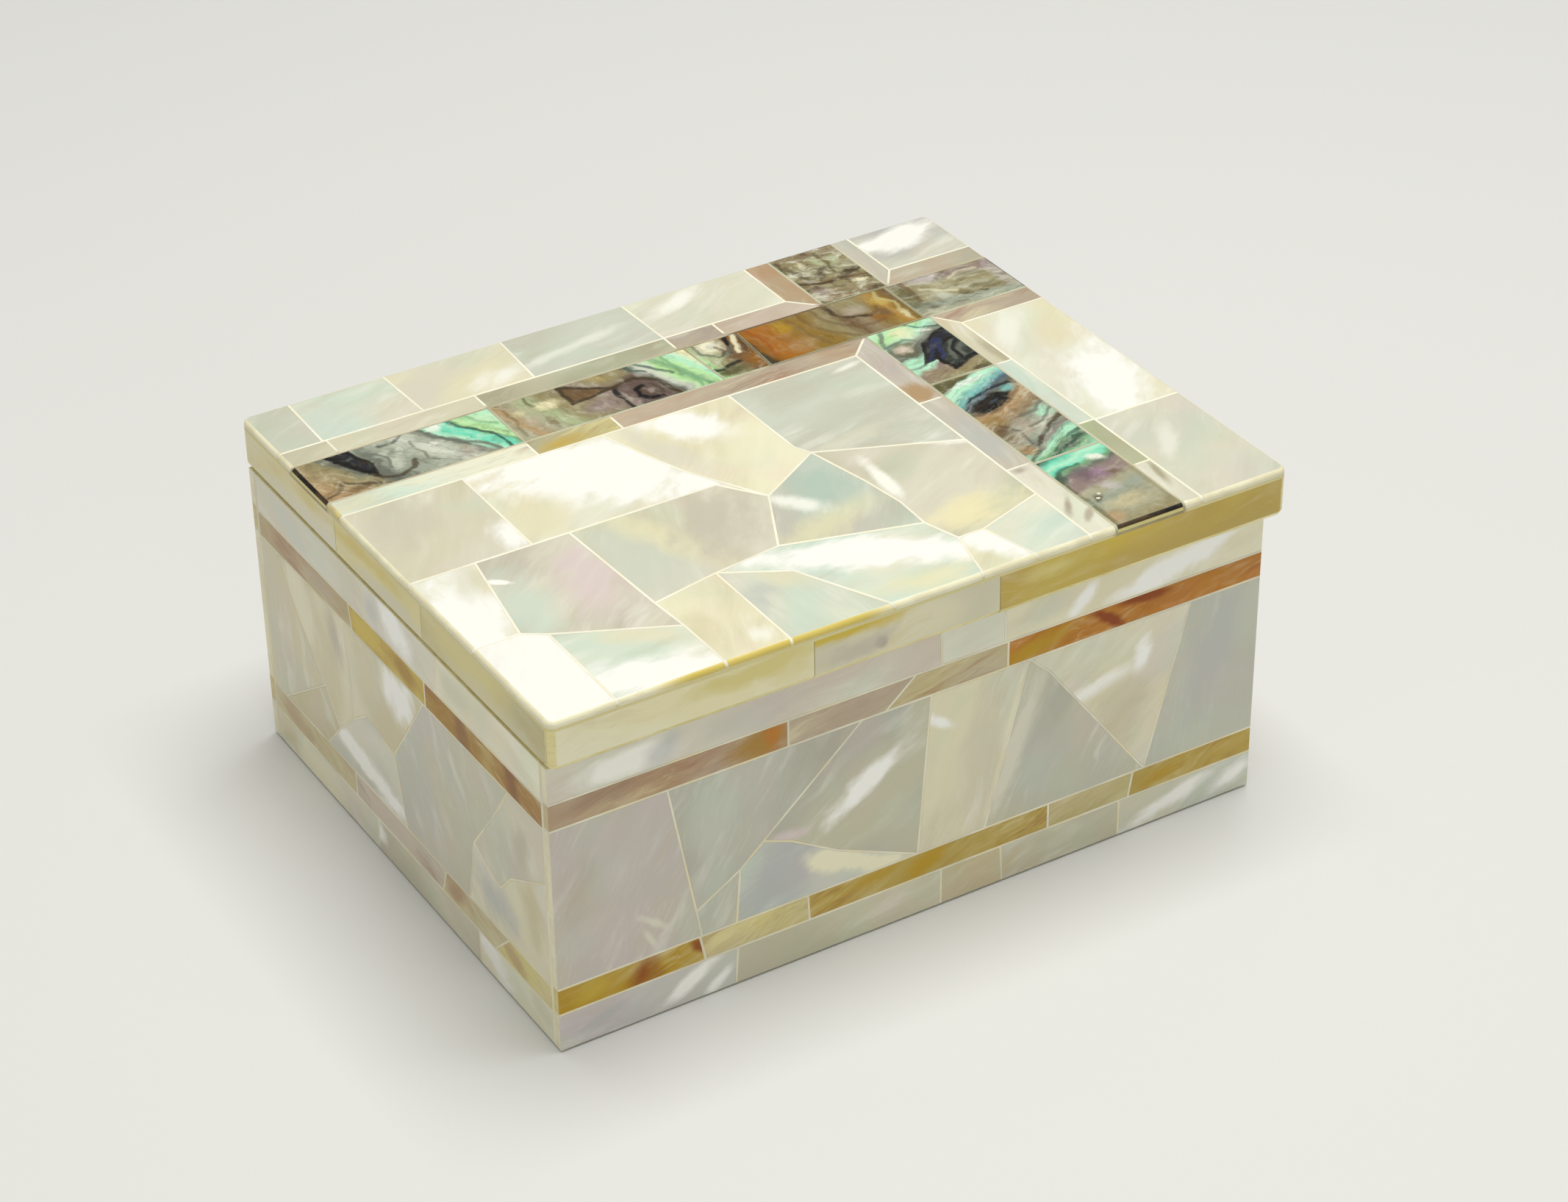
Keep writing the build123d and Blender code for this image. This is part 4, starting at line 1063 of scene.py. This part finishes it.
wood = {"light": tone(142, 96, 58), "dark": tone(98, 60, 34), "line": tone(66, 40, 24)}


def woodFinish(name, look, grain):
    f = Finish(name)
    place = f.place()
    rings = f.noise(f.vector("MULTIPLY", place, grain), 5, 3, 0.55)
    fibre = f.noise(f.vector("MULTIPLY", place, [g ** 1.6 for g in grain]), 0.7, 3, 0.6)
    colour = f.mix(f.sum("PINGPONG", rings * 9, 0.5) * 2, look["light"], look["dark"])
    return f.surface({
        "Base Color": f.mix(f.ease(fibre, 0.52, 0.72, 0, 0.6), colour, look["line"]),
        "Roughness": 0.45 + fibre * 0.2,
        "Normal": f.bump(fibre * -0.05),
    })


brass = {"tint": tone(204, 176, 116), "tarnish": tone(146, 114, 66)}


def brassFinish(look):
    f = Finish("brass")
    place = f.place()
    brushed = f.noise(f.vector("MULTIPLY", place, (0.06, 1, 1)), 0.12, 2)
    stain = f.ease(f.noise(place, 2.5, 3), 0.5, 0.75)
    return f.surface({
        "Base Color": f.mix(stain * 0.6, look["tint"], look["tarnish"]),
        "Roughness": 0.32 + stain * 0.2 + brushed * 0.12,
        "Metallic": 1.0,
        "Normal": f.bump(brushed * 0.01),
    })


# By a word in the node's name: its finish and the width of its eased edge in mm
woodAcross = woodFinish("woodAcross", wood, (0.06, 1, 1))
woodBack = woodFinish("woodBack", wood, (1, 0.06, 1))
bare = {
    "filler": (fillerFinish(filler), 0.04),
    "carcase_left": (woodBack, 0.25),
    "carcase_right": (woodBack, 0.25),
    "carcase": (woodAcross, 0.25),
    "board": (woodAcross, 0.25),
    "hinge": (brassFinish(brass), 0.08),
}
for name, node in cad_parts.items():
    material, width = next((bare[word] for word in bare if word in name), (None, 0))
    if material is None:
        continue
    for k in range(max(1, len(node.material_slots))):
        if not node.material_slots:
            node.data.materials.append(None)
        node.material_slots[k].link = "OBJECT"
        node.material_slots[k].material = material
    node.modifiers.new("weld", "WELD").merge_threshold = 1e-6
    eased = node.modifiers.new("eased", "BEVEL")
    eased.width = width * mm
    eased.segments = 2
    eased.limit_method = "ANGLE"
    eased.angle_limit = math.radians(40)
    evenShading(node)
print("wood, filler and brass finished")


# Velvet and felt
cloths = {
    "velvet": {"pile": tone(20, 20, 24), "brushed": tone(40, 39, 46), "sheen": 0.45, "nap": 0.22},
    "felt": {"pile": tone(30, 30, 33), "brushed": tone(62, 61, 66), "sheen": 0.3, "nap": 0.4},
}


def clothFinish(name, look):
    f = Finish(name)
    place = f.place()
    nap = f.noise(place, look["nap"], 2, 0.7)
    brushed = f.noise(f.vector("ADD", place, f.scale(f.noise(place, 9, 2, 0.5, 1), 6)), 11, 2)
    colour = f.mix(f.ease(nap, 0.35, 0.7), look["pile"], look["brushed"])
    return f.surface({
        "Base Color": f.mix(f.ease(brushed, 0.42, 0.62, 0, 0.5), colour, look["brushed"]),
        "Roughness": 0.85 + nap * 0.15,
        "Sheen Weight": look["sheen"],
        "Sheen Roughness": 0.4,
        "Normal": f.bump(nap * 0.12 + brushed * 0.4),
    })


clothFinishes = {name: clothFinish(name, look) for name, look in cloths.items()}

# Crowned panels: each is a card covered with cloth, thin at its rolled edge
wall = {"full": 0.8, "edge": 0.35, "roll": 0.9, "corner": 0.8, "cloth": "velvet"}
panels = {
    "floor_lining": {"up": "z", "full": 1.2, "edge": 0.5, "roll": 1.6, "corner": 0.8, "cloth": "velvet"},
    "front_lining": {"up": "y", **wall},
    "back_lining": {"up": "-y", **wall},
    "left_lining": {"up": "x", **wall},
    "right_lining": {"up": "-x", **wall},
    "lid_lining": {"up": "-z", "full": 1.0, "edge": 0.35, "roll": 1.8, "corner": 2.0, "cloth": "velvet"},
    "base_felt": {"up": "-z", "full": 0.8, "edge": 0.55, "roll": 0.5, "corner": 0.8, "cloth": "felt"},
}
edgeSteps = [0, 0.08, 0.22, 0.45, 0.8, 1.3, 2, 3, 4.4, 6]  # mm in from the edge
clothGrid = {
    "step": 1.6,  # mm between the grid's lines, inside the edge steps
    "wave": (0.09, 0.05),  # waves per mm and their height
    "inset": 0.1,  # of the underside
}


# Places across a panel, close together at its rolled edges
def clothSteps(half):
    count = max(8, round((half - edgeSteps[-1]) / clothGrid["step"]))
    inside = [(half - edgeSteps[-1]) * k / count for k in range(count)]
    places = inside + [half - step for step in reversed(edgeSteps)]
    return [-p for p in reversed(places[1:])] + places


# Brings the corner of the grid in to a round one
def roundCorner(x, y, half, radius):
    px, py = abs(x) - (half[0] - radius), abs(y) - (half[1] - radius)
    if px <= 0 or py <= 0:
        return x, y
    pull = max(px, py) / math.hypot(px, py)
    return tuple(math.copysign(h - radius + p * pull, w) for h, p, w in ((half[0], px, x), (half[1], py, y)))


def edgeDistance(x, y, half, radius):
    px, py = abs(x) - (half[0] - radius), abs(y) - (half[1] - radius)
    return radius - (math.hypot(px, py) if px > 0 and py > 0 else max(px, py))


def clothPanel(node, look):
    low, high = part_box(node)
    middle, size = (low + high) / 2, high - low
    axis = "xyz".index(look["up"][-1])
    facing = -1 if look["up"].startswith("-") else 1
    flatAxes = [k for k in range(3) if k != axis]
    half = [size[k] / 2 / mm for k in flatAxes]
    back = (low if facing > 0 else high)[axis]
    often, tall = clothGrid["wave"]
    work = bmesh.new()

    def corner(x, y, height):
        point = Vector()
        point[flatAxes[0]] = middle[flatAxes[0]] + x * mm
        point[flatAxes[1]] = middle[flatAxes[1]] + y * mm
        point[axis] = back + facing * height * mm
        return work.verts.new(point)

    across, along = clothSteps(half[0]), clothSteps(half[1])
    grid, under = [], []
    for y in along:
        row = []
        for x in across:
            cx, cy = roundCorner(x, y, half, look["corner"])
            inset = edgeDistance(cx, cy, half, look["corner"])
            height = look["full"] - (look["full"] - look["edge"]) * math.exp(-inset / look["roll"] * 2.2)
            wave = noise.noise(Vector((cx * often, cy * often, len(node)))) * tall * min(1, max(0, inset))
            row.append(corner(cx, cy, min(look["full"], height - tall + wave)))
        grid.append(row)
    for near, far in zip(grid, grid[1:]):
        for k in range(len(across) - 1):
            work.faces.new((near[k], near[k + 1], far[k + 1], far[k]))
    rim = grid[0] + [row[-1] for row in grid[1:]] + grid[-1][-2::-1] + [row[0] for row in grid[-2:0:-1]]
    for vert in rim:
        x, y = ((vert.co[k] - middle[k]) / mm for k in flatAxes)
        under.append(corner(x * (1 - clothGrid["inset"] / half[0]), y * (1 - clothGrid["inset"] / half[1]), 0))
    for k in range(len(rim)):
        work.faces.new((rim[k], rim[k - 1], under[k - 1], under[k]))
    work.faces.new(under)
    bmesh.ops.recalc_face_normals(work, faces=work.faces)
    piece = standIn(work, node, "_cloth", [clothFinishes[look["cloth"]]])
    if look["cloth"] == "velvet":
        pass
    else:
        [2 * h * mm for h in half]


for node, look in panels.items():
    clothPanel(node, look)
print("linings and felt laid")

# Light: soft boxes over and beside the box, each with its place, width in metres, power and colour
lights = {
    "above": ((0.1, 0.0, 0.93), 0.55, 6.9, (1.0, 0.99, 0.94)),
    "front": ((-0.15, -1.1, 0.35), 0.5, 0.9, (1.0, 0.99, 0.94)),
    "left": ((-1.1, -0.2, 0.45), 0.5, 0.5, (1.0, 0.92, 0.78)),
}


def placeLight(name, place, width, power, colour):
    data = bpy.data.lights.new(name, "AREA")
    data.shape = "RECTANGLE"
    data.size = data.size_y = width
    data.energy = power
    data.color = colour
    lamp = placed(name, data)
    lamp.location = place
    lamp.rotation_euler = (-Vector(place)).to_track_quat("-Z", "Y").to_euler()


for name, light in lights.items():
    placeLight(name, *light)

studio = {
    "air": tone(229, 227, 217),
    "strength": 0.47,
    "floor": (tone(224, 225, 226), tone(212, 213, 214)),
    "half": 3,  # of the floor, in metres
}
world = bpy.data.worlds.new("studio")
world.use_nodes = True
background = world.node_tree.nodes["Background"].inputs
background["Color"].default_value = studio["air"]
background["Strength"].default_value = studio["strength"]
bpy.context.scene.world = world
bpy.context.scene.view_settings.view_transform = "Standard"

corners = [(x * studio["half"], y * studio["half"], 0) for x, y in ((-1, -1), (1, -1), (1, 1), (-1, 1))]
floorData = bpy.data.meshes.new("floor")
floorData.from_pydata(corners, [], [(0, 1, 2, 3)])
floor = placed("floor", floorData)
paint = Finish("floorPaint")
clouds = paint.noise(paint.node("TexCoord", output="Object"), 0.2, 3)
floorData.materials.append(paint.surface({
    "Base Color": paint.mix(clouds * 0.1, *studio["floor"]),
    "Roughness": 0.6,
}))
print("light and floor placed")
